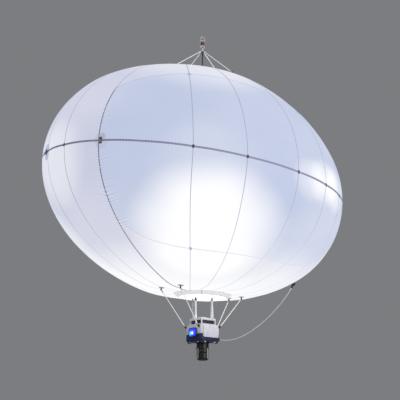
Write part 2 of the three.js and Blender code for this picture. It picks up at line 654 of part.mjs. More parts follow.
addShackle();
addSwivel();
addMasterRingAndHub();
addEnvelope();
addMouth();
addCrown();
addGuyPlates();
addBox();
addPosts();
addBoxFittings();
addStays();
addBlower();
addCable();
addLampUnit();

export default balloonLight;
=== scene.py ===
"""Balloon light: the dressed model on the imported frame. Metres, +Z up, -Y towards the photo's side."""
import json
import math
from itertools import product

import bmesh
import bpy
import numpy as np
from mathutils import Euler, Matrix, Vector


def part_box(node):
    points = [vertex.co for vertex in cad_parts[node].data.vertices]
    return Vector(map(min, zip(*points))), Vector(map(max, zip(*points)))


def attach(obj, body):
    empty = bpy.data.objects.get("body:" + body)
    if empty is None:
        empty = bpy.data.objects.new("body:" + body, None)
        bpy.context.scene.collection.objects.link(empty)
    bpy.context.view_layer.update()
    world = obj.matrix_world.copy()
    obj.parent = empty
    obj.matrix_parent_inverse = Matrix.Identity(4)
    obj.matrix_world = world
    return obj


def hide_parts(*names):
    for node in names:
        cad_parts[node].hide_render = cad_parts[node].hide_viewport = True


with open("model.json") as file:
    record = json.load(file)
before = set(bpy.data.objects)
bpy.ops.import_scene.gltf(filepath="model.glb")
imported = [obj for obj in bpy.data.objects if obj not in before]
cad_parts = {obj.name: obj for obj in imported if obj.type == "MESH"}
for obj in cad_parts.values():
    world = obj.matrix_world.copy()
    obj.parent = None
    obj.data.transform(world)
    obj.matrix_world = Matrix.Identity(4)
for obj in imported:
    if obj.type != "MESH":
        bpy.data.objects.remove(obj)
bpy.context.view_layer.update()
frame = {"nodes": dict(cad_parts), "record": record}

# Envelope shape, as in the part's source
CENTRE_Z = -2.690
RADIUS = 2.535
HALF_HEIGHT = 1.965
LEAN, LEAN_GAIN = 0.147, 0.085
GUY_PULL, PULL_GAIN = 0.184, 0.079
BOTTOM_LIFT, FLAT_RADIUS, FLAT_SHIFT = 0.105, 0.950, 0.060
MOUTH_RADIUS = 0.430
GORES = 20
GORE_TURN = 360 / GORES
GORE_CROWN = 0.009
SEAM_AZIMUTHS = {-4: -67.3, -3: -52.4, -2: -34.0, -1: -17.0, 0: 0.9, 1: 19.8, 2: 41.0, 3: 57.5}

# Supply box, as in the part's source
BOX_TURN = 40
BOX_SIDE = 0.400
HOUSING_TOP, BASE_TOP, BASE_BOTTOM = -5.080, -5.233, -5.356
RAIL_TOP = -4.965
PANEL_BOTTOM = -4.602

# Supply cable, as in the part's source
CABLE_DIAMETER = 0.018
CABLE_ROUTE = [
    (0.2858, 0.0701, -5.3080), (0.3164, 0.0958, -5.3085), (0.3540, 0.1260, -5.3090),
    (0.4050, 0.1550, -5.3060), (0.5140, 0.2070, -5.2890), (0.6370, 0.2500, -5.2430),
    (0.7550, 0.2910, -5.1760), (0.8950, 0.3400, -5.0780), (1.0370, 0.3920, -4.9630),
    (1.1740, 0.4470, -4.8280), (1.3090, 0.5060, -4.6740), (1.4150, 0.5570, -4.5340),
    (1.4960, 0.6057, -4.4227), (1.5300, 0.6263, -4.3533)]


# Camera at the photo's angle: at floor level, looking up

CAMERA_AT, CAMERA_TILT = (-0.044, -19.888, -7.562), 103.1
LENS_MM, SENSOR_MM, CLIP_END = 108, 36, 200

bpy.ops.object.camera_add(location=CAMERA_AT, rotation=(math.radians(CAMERA_TILT), 0, 0))
camera = bpy.context.object
camera.name = "camera"
camera.data.lens = LENS_MM
camera.data.sensor_width = SENSOR_MM
camera.data.clip_end = CLIP_END
bpy.context.scene.camera = camera


# Modelling helpers

# A turned piece's radius at its axis, and how near its points there merge
AXIS_RADIUS, AXIS_MERGE = 1e-4, 3e-4
BEVEL_ANGLE, BEVEL_SEGMENTS = math.radians(40), 2


def done():
    bpy.ops.object.mode_set(mode="OBJECT")


def deselect():
    if bpy.context.mode != "OBJECT":
        done()
    bpy.ops.object.select_all(action="DESELECT")


def grab(obj):
    deselect()
    obj.select_set(True)
    bpy.context.view_layer.objects.active = obj


def edit(obj, kind="FACE"):
    """Goes into edit mode with everything selected."""
    grab(obj)
    bpy.ops.object.mode_set(mode="EDIT")
    bpy.ops.mesh.select_mode(type=kind)
    bpy.ops.mesh.select_all(action="SELECT")


def pick(obj, test, kind="FACE"):
    """Goes into edit mode with what passes the test selected: test(centre, normal or direction)."""
    edit(obj, kind)
    bpy.ops.mesh.select_all(action="DESELECT")
    shape = bmesh.from_edit_mesh(obj.data)
    if kind == "FACE":
        for face in shape.faces:
            face.select_set(bool(test(face.calc_center_median(), face.normal)))
    else:
        for edge in shape.edges:
            start, end = edge.verts[0].co, edge.verts[1].co
            if test((start + end) / 2, (end - start).normalized()):
                edge.select_set(True)
    bmesh.update_edit_mesh(obj.data)


def modify(obj, kind, **settings):
    grab(obj)
    modifier = obj.modifiers.new(kind.lower(), kind)
    for key, value in settings.items():
        setattr(modifier, key, value)
    bpy.ops.object.modifier_apply(modifier=modifier.name)
    return obj


def bevel(obj, width):
    return modify(obj, "BEVEL", width=width, segments=BEVEL_SEGMENTS, limit_method="ANGLE",
                  angle_limit=BEVEL_ANGLE)


def place(obj, at=(0, 0, 0), turn=(0, 0, 0), size=(1, 1, 1)):
    """Sizes, turns and then moves a piece, and bakes that into its mesh."""
    rotation = Euler([math.radians(angle) for angle in turn]).to_matrix()
    obj.data.transform(Matrix.LocRotScale(Vector(at), rotation, Vector(size)))
    obj.data.update()
    return obj


def spin(obj, angle):
    """Turns a piece about Z, in degrees."""
    return place(obj, turn=(0, 0, angle))


def aim(obj, start, direction):
    """Turns what was modelled along +Z to a direction and moves its foot to start."""
    rotation = Vector((0, 0, 1)).rotation_difference(Vector(direction).normalized()).to_matrix().to_4x4()
    obj.data.transform(Matrix.Translation(Vector(start)) @ rotation)
    obj.data.update()
    return obj


def added():
    """The piece that an operator has just added, with its place and size baked into its mesh."""
    obj = bpy.context.object
    grab(obj)
    bpy.ops.object.transform_apply(location=True, rotation=True, scale=True)
    return obj


def block(size, at=(0, 0, 0), rounding=0.0):
    deselect()
    bpy.ops.mesh.primitive_cube_add(size=1, location=at, scale=size)
    obj = added()
    if rounding:
        modify(obj, "BEVEL", width=rounding, segments=BEVEL_SEGMENTS, limit_method="NONE")
    return obj


def ball(radius, at, segments, rings):
    deselect()
    bpy.ops.mesh.primitive_uv_sphere_add(segments=segments, ring_count=rings, radius=radius, location=at)
    return added()


def ring(major, minor, at, around, across, tilt=0):
    """A round ring about Z, tilted about X in degrees."""
    deselect()
    bpy.ops.mesh.primitive_torus_add(major_radius=major, minor_radius=minor, major_segments=around,
                                     minor_segments=across, location=at, rotation=(math.radians(tilt), 0, 0))
    return added()


def turned(profile, sides=40, closed=False, base=0.0):
    """A turned piece: a circle drawn from ring to ring of pairs, each a radius and a height over the base."""
    rings = [(max(radius, AXIS_RADIUS), base + height) for radius, height in profile]
    radius, height = rings[0]
    deselect()
    bpy.ops.mesh.primitive_circle_add(vertices=sides, radius=radius, location=(0, 0, height))
    obj = added()
    edit(obj, "VERT")
    for goal, top in rings[1:]:
        bpy.ops.mesh.extrude_region_move(TRANSFORM_OT_translate={"value": (0, 0, top - height)})
        bpy.ops.transform.resize(value=(goal / radius, goal / radius, 1), center_override=(0, 0, top))
        radius, height = goal, top
    bpy.ops.mesh.select_all(action="SELECT")
    if closed:
        bpy.ops.mesh.region_to_loop()
        bpy.ops.mesh.bridge_edge_loops()
    else:
        bpy.ops.mesh.remove_doubles(threshold=AXIS_MERGE)
        bpy.ops.mesh.select_all(action="DESELECT")
        bpy.ops.mesh.select_non_manifold()
        bpy.ops.mesh.fill_holes(sides=0)
    bpy.ops.mesh.select_all(action="SELECT")
    bpy.ops.mesh.normals_make_consistent(inside=False)
    done()
    return obj


def stud(radius, height, crown, sides=6):
    """A bolt's head or a rivet's on z = 0: its radius, its side's height and its height in the middle."""
    return turned([(0, 0), (radius, 0), (radius, height), (0, crown)], sides)


def rod(radius, start, end, sides=16, rounding=0.0):
    """A round rod between two points."""
    start, end = Vector(start), Vector(end)
    length = (end - start).length
    deselect()
    bpy.ops.mesh.primitive_cylinder_add(
        vertices=sides, radius=radius, depth=length, location=(0, 0, length / 2))
    obj = added()
    if rounding:
        bevel(obj, rounding)
    return aim(obj, start, end - start)


def wire(points, radius, sides, smooth=True):
    """A round bar bent along points."""
    deselect()
    bpy.ops.curve.primitive_nurbs_path_add()
    path = bpy.context.object.data
    path.splines.clear()
    spline = path.splines.new("NURBS" if smooth else "POLY")
    spline.points.add(len(points) - 1)
    for point, at in zip(spline.points, points):
        point.co = (*at, 1)
    if smooth:
        spline.order_u = 4
        spline.use_endpoint_u = True
        spline.resolution_u = 6
    path.bevel_depth = radius
    path.bevel_resolution = sides // 4
    path.use_fill_caps = True
    bpy.ops.object.convert(target="MESH")
    return added()


def copy_of(obj):
    twin = obj.copy()
    twin.data = obj.data.copy()
    bpy.context.collection.objects.link(twin)
    return twin


def copies_at(obj, points):
    """Copies of a piece at points, in place of the piece."""
    copies = [place(copy_of(obj), at) for at in points]
    bpy.data.objects.remove(obj)
    return copies


def copies_about(obj, count):
    """Copies of a piece turned evenly about Z, in place of the piece."""
    copies = [spin(copy_of(obj), 360 * index / count) for index in range(count)]
    bpy.data.objects.remove(obj)
    return copies


def circle_points(radius, count, z=0.0, start=0.0):
    """Points spaced evenly on a circle about Z, from a start angle in degrees."""
    turns = [math.radians(start + 360 * index / count) for index in range(count)]
    return [(radius * math.cos(turn), radius * math.sin(turn), z) for turn in turns]


def joined(objs):
    deselect()
    for obj in objs:
        obj.select_set(True)
    bpy.context.view_layer.objects.active = objs[0]
    bpy.ops.object.join()
    return bpy.context.object


def carve(obj, *cutters):
    """Cuts the cutters out of a piece."""
    for cutter in cutters:
        modify(obj, "BOOLEAN", operation="DIFFERENCE", object=cutter, solver="EXACT")
        bpy.data.objects.remove(cutter)
    return obj


def dress(obj, name, material, slot, *stands_for, body="balloon", angle=35):
    """Names a finished piece, gives it its material, hangs it on the body that it rides on and hides the CAD
    parts that it stands for.
    """
    obj.name = name
    obj.data.name = name
    obj.data.materials.clear()
    obj.data.materials.append(material)
    grab(obj)
    bpy.ops.object.shade_smooth_by_angle(angle=math.radians(angle))
    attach(obj, body)
    if stands_for:
        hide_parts(*stands_for)
    return obj


def paint(obj, material, test):
    """Gives the faces that pass the test a second material."""
    if material.name not in obj.data.materials:
        obj.data.materials.append(material)
    index = obj.data.materials.find(material.name)
    for face in obj.data.polygons:
        if test(face.center, face.normal):
            face.material_index = index


def vertices_of(obj):
    at = np.empty(3 * len(obj.data.vertices), np.float32)
    obj.data.vertices.foreach_get("co", at)
    return at.reshape(-1, 3).astype(float)


def move_vertices(obj, at):
    obj.data.vertices.foreach_set("co", np.asarray(at, np.float32).ravel())
    obj.data.update()
    return obj


def line_ends(node):
    """The two end centres of a straight CAD rod, the lower one first."""
    at = vertices_of(frame["nodes"][node])
    middle = at.mean(0)
    axis = np.linalg.svd(at - middle, full_matrices=False)[2][0]
    along = (at - middle) @ axis
    ends = (at[along < along.min() + 1e-4].mean(0), at[along > along.max() - 1e-4].mean(0))
    return [Vector(end) for end in sorted(ends, key=lambda end: end[2])]


# Finishes: shared effects are node groups, built once

def put(tree, kind, inputs=None, **settings):
    """Adds a shader node. An input that is a socket is linked, any other is set."""
    node = tree.nodes.new("ShaderNode" + kind)
    for key, value in settings.items():
        setattr(node, key, value)
    for key, value in (inputs or {}).items():
        if isinstance(value, bpy.types.NodeSocket):
            tree.links.new(value, node.inputs[key])
        else:
            node.inputs[key].default_value = value
    return node


def math_node(tree, operation, *values):
    return put(tree, "Math", dict(enumerate(values)), operation=operation).outputs[0]


def times(tree, *values):
    return math_node(tree, "MULTIPLY", *values)


def plus(tree, *values):
    return math_node(tree, "ADD", *values)


def ramp(tree, value, low, high, start=0.0, end=1.0, kind="SMOOTHSTEP"):
    inputs = {"Value": value, "From Min": low, "From Max": high, "To Min": start, "To Max": end}
    return put(tree, "MapRange", inputs, interpolation_type=kind).outputs["Result"]


def noise(tree, vector, scale, detail, roughness=0.5):
    inputs = {"Vector": vector, "Scale": scale, "Detail": detail, "Roughness": roughness}
    return put(tree, "TexNoise", inputs).outputs["Fac"]


def vector_node(tree, operation, *values):
    return put(tree, "VectorMath", dict(enumerate(values)), operation=operation).outputs


def scaled(tree, vector, scale):
    return put(tree, "VectorMath", {0: vector, "Scale": scale}, operation="SCALE").outputs[0]


def split(tree, vector):
    return put(tree, "SeparateXYZ", {0: vector}).outputs


def opaque(colour):
    return colour if isinstance(colour, bpy.types.NodeSocket) else (*colour, 1)


def blend_colour(tree, share, first, second):
    inputs = {0: share, 6: opaque(first), 7: opaque(second)}
    return put(tree, "Mix", inputs, data_type="RGBA").outputs[2]


def toned(colour, gain, lift=0.0):
    return tuple(min(1, gain * part + lift) for part in colour)


def new_group(name, scale, *outputs):
    """A node group that reads a vector and a scale and gives numbers."""
    group = bpy.data.node_groups.new(name, "ShaderNodeTree")
    sockets = group.interface
    sockets.new_socket("Vector", in_out="INPUT", socket_type="NodeSocketVector")
    sockets.new_socket("Scale", in_out="INPUT", socket_type="NodeSocketFloat").default_value = scale
    for output in outputs:
        sockets.new_socket(output, in_out="OUTPUT", socket_type="NodeSocketFloat")
    inlet = group.nodes.new("NodeGroupInput")
    outlet = group.nodes.new("NodeGroupOutput")
    return group, inlet.outputs, lambda output, value: group.links.new(value, outlet.inputs[output])


def make_speckle():
    """Fine moulded or painted grain, with slow clouds of tone."""
    group, given, give = new_group("speckle", 400.0, "Height", "Tone")
    fine = noise(group, given["Vector"], given["Scale"], 3.0, 0.6)
    slow = noise(group, given["Vector"], times(group, given["Scale"], 0.03), 4.0)
    give("Height", fine)
    give("Tone", plus(group, times(group, slow, 0.7), times(group, fine, 0.3)))
    return group


def make_weave():
    """Plain weave in two directions on a flat pair of coordinates, in threads."""
    group, given, give = new_group("weave", 900.0, "Height", "Tone")
    axes = split(group, scaled(group, given["Vector"], given["Scale"]))
    across, along = [math_node(group, "ABSOLUTE", math_node(group, "SINE", axes[i])) for i in range(2)]
    give("Height", times(group, plus(group, across, along), 0.5))
    give("Tone", noise(group, given["Vector"], 3.0, 4.0))
    return group


def make_wear():
    """Bare edges and dust: more on edges that stand out and on faces that look up."""
    group, given, give = new_group("wear", 60.0, "Edge", "Dust")
    uneven = noise(group, given["Vector"], given["Scale"], 6.0, 0.7)
    point = put(group, "NewGeometry").outputs["Pointiness"]
    give("Edge", ramp(group, plus(group, point, times(group, uneven, 0.06)), 0.56, 0.64))
    up = split(group, put(group, "TexCoord").outputs["Normal"])[2]
    give("Dust", times(group, ramp(group, up, 0.3, 1.0), uneven))
    return group


SPECKLE = make_speckle()
WEAVE = make_weave()
WEAR = make_wear()
WEAR_SCALE = 60.0
DUST_COLOUR = (0.35, 0.33, 0.30)
CLOTH_THREADS = 1400.0


class Finish:
    """A material with its shader, its tree and the coordinates that its patterns read."""

    def __init__(self, name, colour, roughness, metallic=0.0):
        self.material = bpy.data.materials.new(name)
        self.material.use_nodes = True
        self.tree = self.material.node_tree
        self.shader = self.tree.nodes["Principled BSDF"]
        self.colour, self.base = colour, None
        self.put_in("Base Color", (*colour, 1))
        self.put_in("Roughness", roughness)
        self.put_in("Metallic", metallic)
        self.place = put(self.tree, "TexCoord").outputs["Object"]
        self.heights = []

    def put_in(self, socket, value):
        self.shader.inputs[socket].default_value = value

    def drive(self, socket, value):
        self.tree.links.new(value, self.shader.inputs[socket])

    def use(self, group, scale, vector=None):
        """The outputs of a shared group, on the object's coordinates unless others are given."""
        inputs = {"Vector": self.place if vector is None else vector, "Scale": scale}
        return put(self.tree, "Group", inputs, node_tree=group).outputs

    def tint(self, tone, dark, light):
        self.base = blend_colour(self.tree, tone, toned(self.colour, dark), toned(self.colour, light))

    def shine(self, colour):
        """Light of its own, of one colour."""
        self.put_in("Emission Color", (*colour, 1))
        self.put_in("Emission Strength", 1.0)

    def shine_by(self, colour, strength=1.0):
        """Light of its own, of a colour from the tree."""
        self.drive("Emission Color", colour)
        self.put_in("Emission Strength", strength)

    def grain(self, scale, tone, rough, depth):
        """Speckle on colour, roughness and height."""
        found = self.use(SPECKLE, scale)
        self.tint(found["Tone"], 1 - tone, 1 + tone)
        middle = self.shader.inputs["Roughness"].default_value
        low, high = middle - rough, middle + rough
        self.drive("Roughness", ramp(self.tree, found["Tone"], 0.3, 0.7, low, high, "LINEAR"))
        self.heights.append((found["Height"], depth))
        return self

    def worn(self, edge_colour, edge, dust):
        """Bare edges and dust over the colour."""
        found = self.use(WEAR, WEAR_SCALE)
        bare = blend_colour(self.tree, times(self.tree, found["Edge"], edge), self.base, edge_colour)
        self.base = blend_colour(self.tree, times(self.tree, found["Dust"], dust), bare, DUST_COLOUR)
        return self

    def close(self):
        """Wires the colour and the bumps up to the shader."""
        if self.base is not None:
            self.drive("Base Color", self.base)
        normal = None
        for height, depth in self.heights:
            bump = put(self.tree, "Bump", {"Height": height, "Strength": 1.0, "Distance": depth})
            if normal is not None:
                self.tree.links.new(normal, bump.inputs["Normal"])
            normal = bump.outputs["Normal"]
        if normal is not None:
            self.drive("Normal", normal)
        return self.material


def painted(name, colour, roughness, edge_colour=(0.5, 0.5, 0.5), edge=0.3, dust=0.12, metallic=0.0):
    finish = Finish(name, colour, roughness, metallic)
    return finish.grain(500, tone=0.03, rough=0.05, depth=0.00001).worn(edge_colour, edge, dust).close()


def bare_metal(name, colour, roughness=0.35):
    finish = Finish(name, colour, roughness, 0.55)
    return finish.grain(240, tone=0.15, rough=0.12, depth=0.00003).worn((0.75, 0.75, 0.74), 0.6, 0.2).close()


def moulded(name, colour, roughness=0.55):
    finish = Finish(name, colour, roughness)
    finish.grain(700, tone=0.14, rough=0.1, depth=0.00025)
    return finish.worn(toned(colour, 2.2, 0.04), 0.5, 0.22).close()


def webbing(name, colour, rib=0.0022, glow=None):
    """Woven tape: ribs across, with fibres."""
    finish = Finish(name, colour, 0.85)
    found = finish.use(WEAVE, math.pi / rib)
    finish.tint(times(finish.tree, plus(finish.tree, found["Height"], found["Tone"]), 0.5), 0.7, 1.25)
    finish.heights.append((found["Height"], 0.00012))
    if glow:
        finish.shine(glow)
    return finish.close()


def rope_finish(name, colour, glow=None):
    """Laid fibres: fine noise stretched along, tone varied from strand to strand."""
    finish = Finish(name, colour, 0.8)
    tree = finish.tree
    mapping = put(tree, "Mapping", {"Vector": finish.place, "Scale": (1.0, 1.0, 0.25)})
    fibres = noise(tree, mapping.outputs[0], 900.0, 4.0)
    slow = noise(tree, finish.place, 25.0, 3.0)
    finish.tint(plus(tree, times(tree, fibres, 0.5), times(tree, slow, 0.5)), 0.75, 1.2)
    finish.heights.append((fibres, 0.0004))
    finish.put_in("Sheen Weight", 0.25)
    # A glow given here is painted light on the rope
    if glow:
        finish.shine(glow)
    return finish.close()


def fabric_direction(tree, place):
    """The direction from the envelope's middle, as on a round ball."""
    moved = vector_node(tree, "SUBTRACT", place, (0, 0, CENTRE_Z))[0]
    size = (1 / RADIUS, 1 / RADIUS, 1 / HALF_HEIGHT)
    mapping = put(tree, "Mapping", {"Vector": moved, "Location": (0.03, 0, 0), "Scale": size})
    return vector_node(tree, "NORMALIZE", mapping.outputs[0])[0]


def heading(azimuth, latitude):
    a, b = math.radians(azimuth), math.radians(latitude)
    return (math.cos(b) * math.sin(a), -math.cos(b) * math.cos(a), math.sin(b))


# Lit patches on the fabric: azimuth, latitude, full inside, gone outside (degrees), strength
GLOW_SPOTS = [
    (4, -34, 2, 32, 0.98), (2, -8, 2, 24, 0.15), (0, -90, 10, 54, 0.95), (47, -9, 1, 12, 0.40),
    (56, -8, 1, 13, 0.50), (66, -9, 1, 13, 0.55), (-64, 2, 3, 24, 0.45), (4, 58, 4, 30, 0.42),
    (-62, 34, 8, 36, 0.12), (66, -36, 6, 30, 0.18), (-50, -40, 4, 36, 0.16), (128, -31, 2, 42, 0.70),
    (248, -31, 2, 42, 0.70), (182, -10, 3, 30, 0.55), (-124, 4, 3, 30, 0.40)]
GORE_SHADE, PANEL_SHADE, LIT_WHITE = (0.550, 0.570, 0.705), (0.480, 0.540, 0.710), (0.96, 0.96, 0.97)
# How far the glow is raised on the folds' crests and lowered in their hollows: painted light and shade
FOLD_PAINTED_SHADE = 0.16
FABRIC_THREADS = 2600.0


def lit_fabric():
    """Coated cloth with the lamp's light in it, its panels and its weave, with painted light and shade along
    its folds.
    """
    finish = Finish("lit_fabric", (0.30, 0.31, 0.34), 0.6)
    tree = finish.tree
    direction = fabric_direction(tree, finish.place)
    drift = noise(tree, direction, 1.6, 2.0)
    total = times(tree, math_node(tree, "SUBTRACT", drift, 0.42), 0.30)
    for azimuth, latitude, inside, outside, strength in GLOW_SPOTS:
        near = vector_node(tree, "DOT_PRODUCT", direction, heading(azimuth, latitude))["Value"]
        low, high = math.cos(math.radians(outside)), math.cos(math.radians(inside))
        total = plus(tree, total, ramp(tree, near, low, high, 0.0, strength))
    glow = math_node(tree, "MINIMUM", total, 1.0)
    inside_panel = put(tree, "Attribute", attribute_name="panel").outputs["Fac"]
    panel = ramp(tree, inside_panel, -0.012, 0.012)
    light = blend_colour(tree, glow, blend_colour(tree, panel, GORE_SHADE, PANEL_SHADE), LIT_WHITE)

    # Gathers run out square to the strong seam and to the band. Their light and shade is painted into the
    # glow, brighter where a fold rises and darker where it sinks
    folds = put(tree, "Attribute", attribute_name="fold").outputs["Fac"]
    finish.shine_by(scaled(tree, light, plus(tree, times(tree, folds, FOLD_PAINTED_SHADE), 1.0)))
    woven = finish.use(WEAVE, FABRIC_THREADS, put(tree, "UVMap", uv_map="cloth").outputs[0])
    finish.base = blend_colour(tree, woven["Tone"], (0.07, 0.07, 0.08), (0.10, 0.10, 0.11))
    finish.put_in("Specular IOR Level", 0.15)
    finish.heights.append((woven["Height"], 0.00001))
    return finish.close()


def glowing_cloth(name, colour, glow):
    finish = Finish(name, colour, 0.85)
    found = finish.use(WEAVE, CLOTH_THREADS)
    finish.tint(found["Tone"], 0.8, 1.15)
    finish.shine_by(blend_colour(finish.tree, found["Tone"], toned(glow, 0.85), glow))
    finish.heights.append((found["Height"], 0.0001))
    return finish.close()


def seam_cloth(name, high, low):
    """Tape with the lit fabric behind it: darker over the widest line, paler towards the mouth."""
    finish = Finish(name, (0.20, 0.20, 0.24), 0.85)
    found = finish.use(WEAVE, CLOTH_THREADS)
    finish.base = blend_colour(finish.tree, found["Tone"], (0.15, 0.15, 0.18), (0.22, 0.22, 0.26))
    height = split(finish.tree, finish.place)[2]
    finish.shine_by(blend_colour(finish.tree, ramp(finish.tree, height, -4.3, -3.1), low, high))
    finish.heights.append((found["Height"], 0.0001))
    return finish.close()


LAMP_HOT_SPOT = (-0.178, -0.155, -5.214)
LAMP_CYAN_SPOT = (-0.212, -0.118, -5.216)


def lamp_glass():
    """A blue lens with a hot spot, a cyan patch beside it and fine ribs."""
    finish = Finish("lamp_blue", (0.02, 0.06, 0.55), 0.15)
    tree = finish.tree
    hot, side = [vector_node(tree, "DISTANCE", finish.place, spot)["Value"]
                 for spot in (LAMP_HOT_SPOT, LAMP_CYAN_SPOT)]
    blue = blend_colour(tree, ramp(tree, side, 0.012, 0.055, 1.0, 0.0), (0.0, 0.035, 1.0), (0.10, 0.55, 1.0))
    white = blend_colour(tree, ramp(tree, hot, 0.010, 0.038, 1.0, 0.0), blue, (1.0, 1.0, 1.0))
    finish.shine_by(white, 1.5)
    ribs = put(tree, "TexWave", {"Vector": finish.place, "Scale": 90.0, "Distortion": 0.0},
               bands_direction="Z")
    finish.heights.append((ribs.outputs["Fac"], 0.0008))
    finish.put_in("Coat Weight", 0.6)
    return finish.close()


FABRIC = lit_fabric()
SEAM_TAPE = seam_cloth("seam_tape", (0.26, 0.26, 0.36), (0.52, 0.51, 0.62))
PANEL_SEAM = seam_cloth("panel_seam", (0.34, 0.36, 0.48), (0.60, 0.61, 0.72))
STRONG_SEAM = seam_cloth("strong_seam", (0.10, 0.095, 0.15), (0.24, 0.22, 0.32))
BAND_WEBBING = webbing("webbing_grey", (0.25, 0.24, 0.31), glow=(0.09, 0.085, 0.15))
PATCH_GREY = webbing("patch_grey", (0.10, 0.10, 0.12), rib=0.003)
COLLAR_CLOTH = webbing("collar_cloth", (0.60, 0.59, 0.60), rib=0.003, glow=(0.55, 0.53, 0.54))
# The sleeve's inner side glows near white: painted light, as if lit by the glowing panel beside it
COLLAR_INSIDE_LIT = glowing_cloth("collar_inside_lit", (0.6, 0.6, 0.6), (0.90, 0.90, 0.92))
COLLAR_SEAM = webbing("collar_seam", (0.30, 0.28, 0.25), rib=0.003, glow=(0.16, 0.15, 0.15))
SOFT_PATCH = glowing_cloth("soft_patch", (0.20, 0.20, 0.23), (0.38, 0.38, 0.47))
DOUBLER_CLOTH = glowing_cloth("doubler_cloth", (0.09, 0.09, 0.10), (0.50, 0.54, 0.70))
PLATE_GREY = bare_metal("plate_grey", (0.13, 0.125, 0.15), 0.5)
PANEL_CLOTH = glowing_cloth("mouth_panel_cloth", (0.6, 0.6, 0.6), (0.96, 0.96, 0.97))
ANCHOR_CLOTH = webbing("anchor_cloth", (0.40, 0.40, 0.42), rib=0.003, glow=(0.16, 0.16, 0.18))
# The white ropes' glow is painted light, standing for the lit envelope's light falling on them
ROPE_WHITE_LIT = rope_finish("rope_white", (0.80, 0.78, 0.78), glow=(0.30, 0.285, 0.29))
TETHER_DARK = rope_finish("tether_dark", (0.07, 0.07, 0.08))
STEEL = bare_metal("hanger_steel", (0.66, 0.67, 0.67))
RED = painted("swivel_red", (0.42, 0.012, 0.015), 0.4, edge_colour=(0.5, 0.45, 0.42))
CROWN_GREY = moulded("crown_grey", (0.28, 0.29, 0.31), 0.6)
BOX_WHITE = painted("box_white", (0.76, 0.75, 0.82), 0.45, edge_colour=(0.60, 0.60, 0.66), edge=0.2, dust=0.1)
POST_WHITE = painted("post_white", (0.84, 0.84, 0.88), 0.45, edge_colour=(0.7, 0.7, 0.72), edge=0.2,
                     dust=0.05)
BOX_NAVY = painted("box_navy", (0.010, 0.018, 0.075), 0.42, edge_colour=(0.10, 0.12, 0.22))
BEZEL_BLUE = painted("bezel_blue", (0.008, 0.02, 0.16), 0.35, edge_colour=(0.1, 0.14, 0.3))
LAMP_BLUE = lamp_glass()
BLACK = moulded("fitting_black", (0.018, 0.018, 0.02))
BLOWER_BLACK = painted("blower_black", (0.004, 0.005, 0.010), 0.42, edge_colour=(0.03, 0.03, 0.04), dust=0.02)
STRIP_BEIGE = painted("strip_beige", (0.36, 0.32, 0.26), 0.5)
POST_GREY = painted("post_grey", (0.42, 0.42, 0.46), 0.5)
CLIP_GREY = painted("clip_grey", (0.42, 0.43, 0.42), 0.4, metallic=0.6)
ROTOR_GREY = moulded("rotor_grey", (0.09, 0.10, 0.11), 0.5)
CABLE_GREY = moulded("cable_grey", (0.46, 0.43, 0.44), 0.6)
LAMP_BLOCK = painted("lamp_block", (0.75, 0.75, 0.72), 0.4)


# Envelope

KNOTS = [GORE_TURN * i for i in range(-GORES // 2, GORES // 2 + 1)]
SEAMS = [SEAM_AZIMUTHS.get(round(knot / GORE_TURN), knot) for knot in KNOTS]


def lean(x, y, z):
    """The round body, leaned, drawn to -X and lifted a little underneath. z is from its middle."""
    radius = np.hypot(x, y)
    level = np.clip(z / HALF_HEIGHT, -1, 1)
    pull = (GUY_PULL - PULL_GAIN * level) * (1 - level ** 2) ** 1.5
    inward = 1 - np.minimum(1, radius / RADIUS)
    fall = (LEAN + LEAN_GAIN * level) * x * (1 - inward ** 2)
    flatness = np.maximum(0, 1 - (np.hypot(x + FLAT_SHIFT, y) / FLAT_RADIUS) ** 2)
    lift = np.where(z < 0, BOTTOM_LIFT * flatness ** 1.5, 0)
    return np.stack([x - pull, y, z - fall + lift + CENTRE_Z], -1)


def skin(azimuth, latitude, out=0.0):
    """Points on the fabric at an azimuth and latitude in degrees, or out from it."""
    azimuth, latitude, out = np.broadcast_arrays(*[np.asarray(v, float) for v in (azimuth, latitude, out)])
    around = (azimuth + 180) % 360 - 180
    share = np.interp(around, SEAMS, KNOTS) / GORE_TURN
    turn, rise = np.radians(azimuth), np.radians(latitude)
    crown = GORE_CROWN * np.abs(np.sin(np.pi * share)) * np.cos(rise) ** 2
    normal_out, normal_up = np.cos(rise) / RADIUS, np.sin(rise) / HALF_HEIGHT
    size = np.hypot(normal_out, normal_up)
    reach = RADIUS * np.cos(rise) + (crown + out) * normal_out / size
    height = HALF_HEIGHT * np.sin(rise) + (crown + out) * normal_up / size
    return lean(reach * np.sin(turn), -reach * np.cos(turn), height)


def seat(azimuth, latitude):
    """A frame on the fabric: X along it eastward, Y up the meridian, Z outward."""
    step = 0.2
    middle = Vector(skin(azimuth, latitude))
    east = Vector(skin(azimuth + step, latitude)) - Vector(skin(azimuth - step, latitude))
    north = Vector(skin(azimuth, latitude + step)) - Vector(skin(azimuth, latitude - step))
    outward = east.cross(north).normalized()
    east.normalize()
    north = outward.cross(east)
    return Matrix.Translation(middle) @ Matrix((east, north, outward)).transposed().to_4x4()


def lay(obj, azimuth, latitude):
    """Moves a piece modelled on the plane z = 0 onto the fabric."""
    obj.data.transform(seat(azimuth, latitude))
    obj.data.update()
    return obj


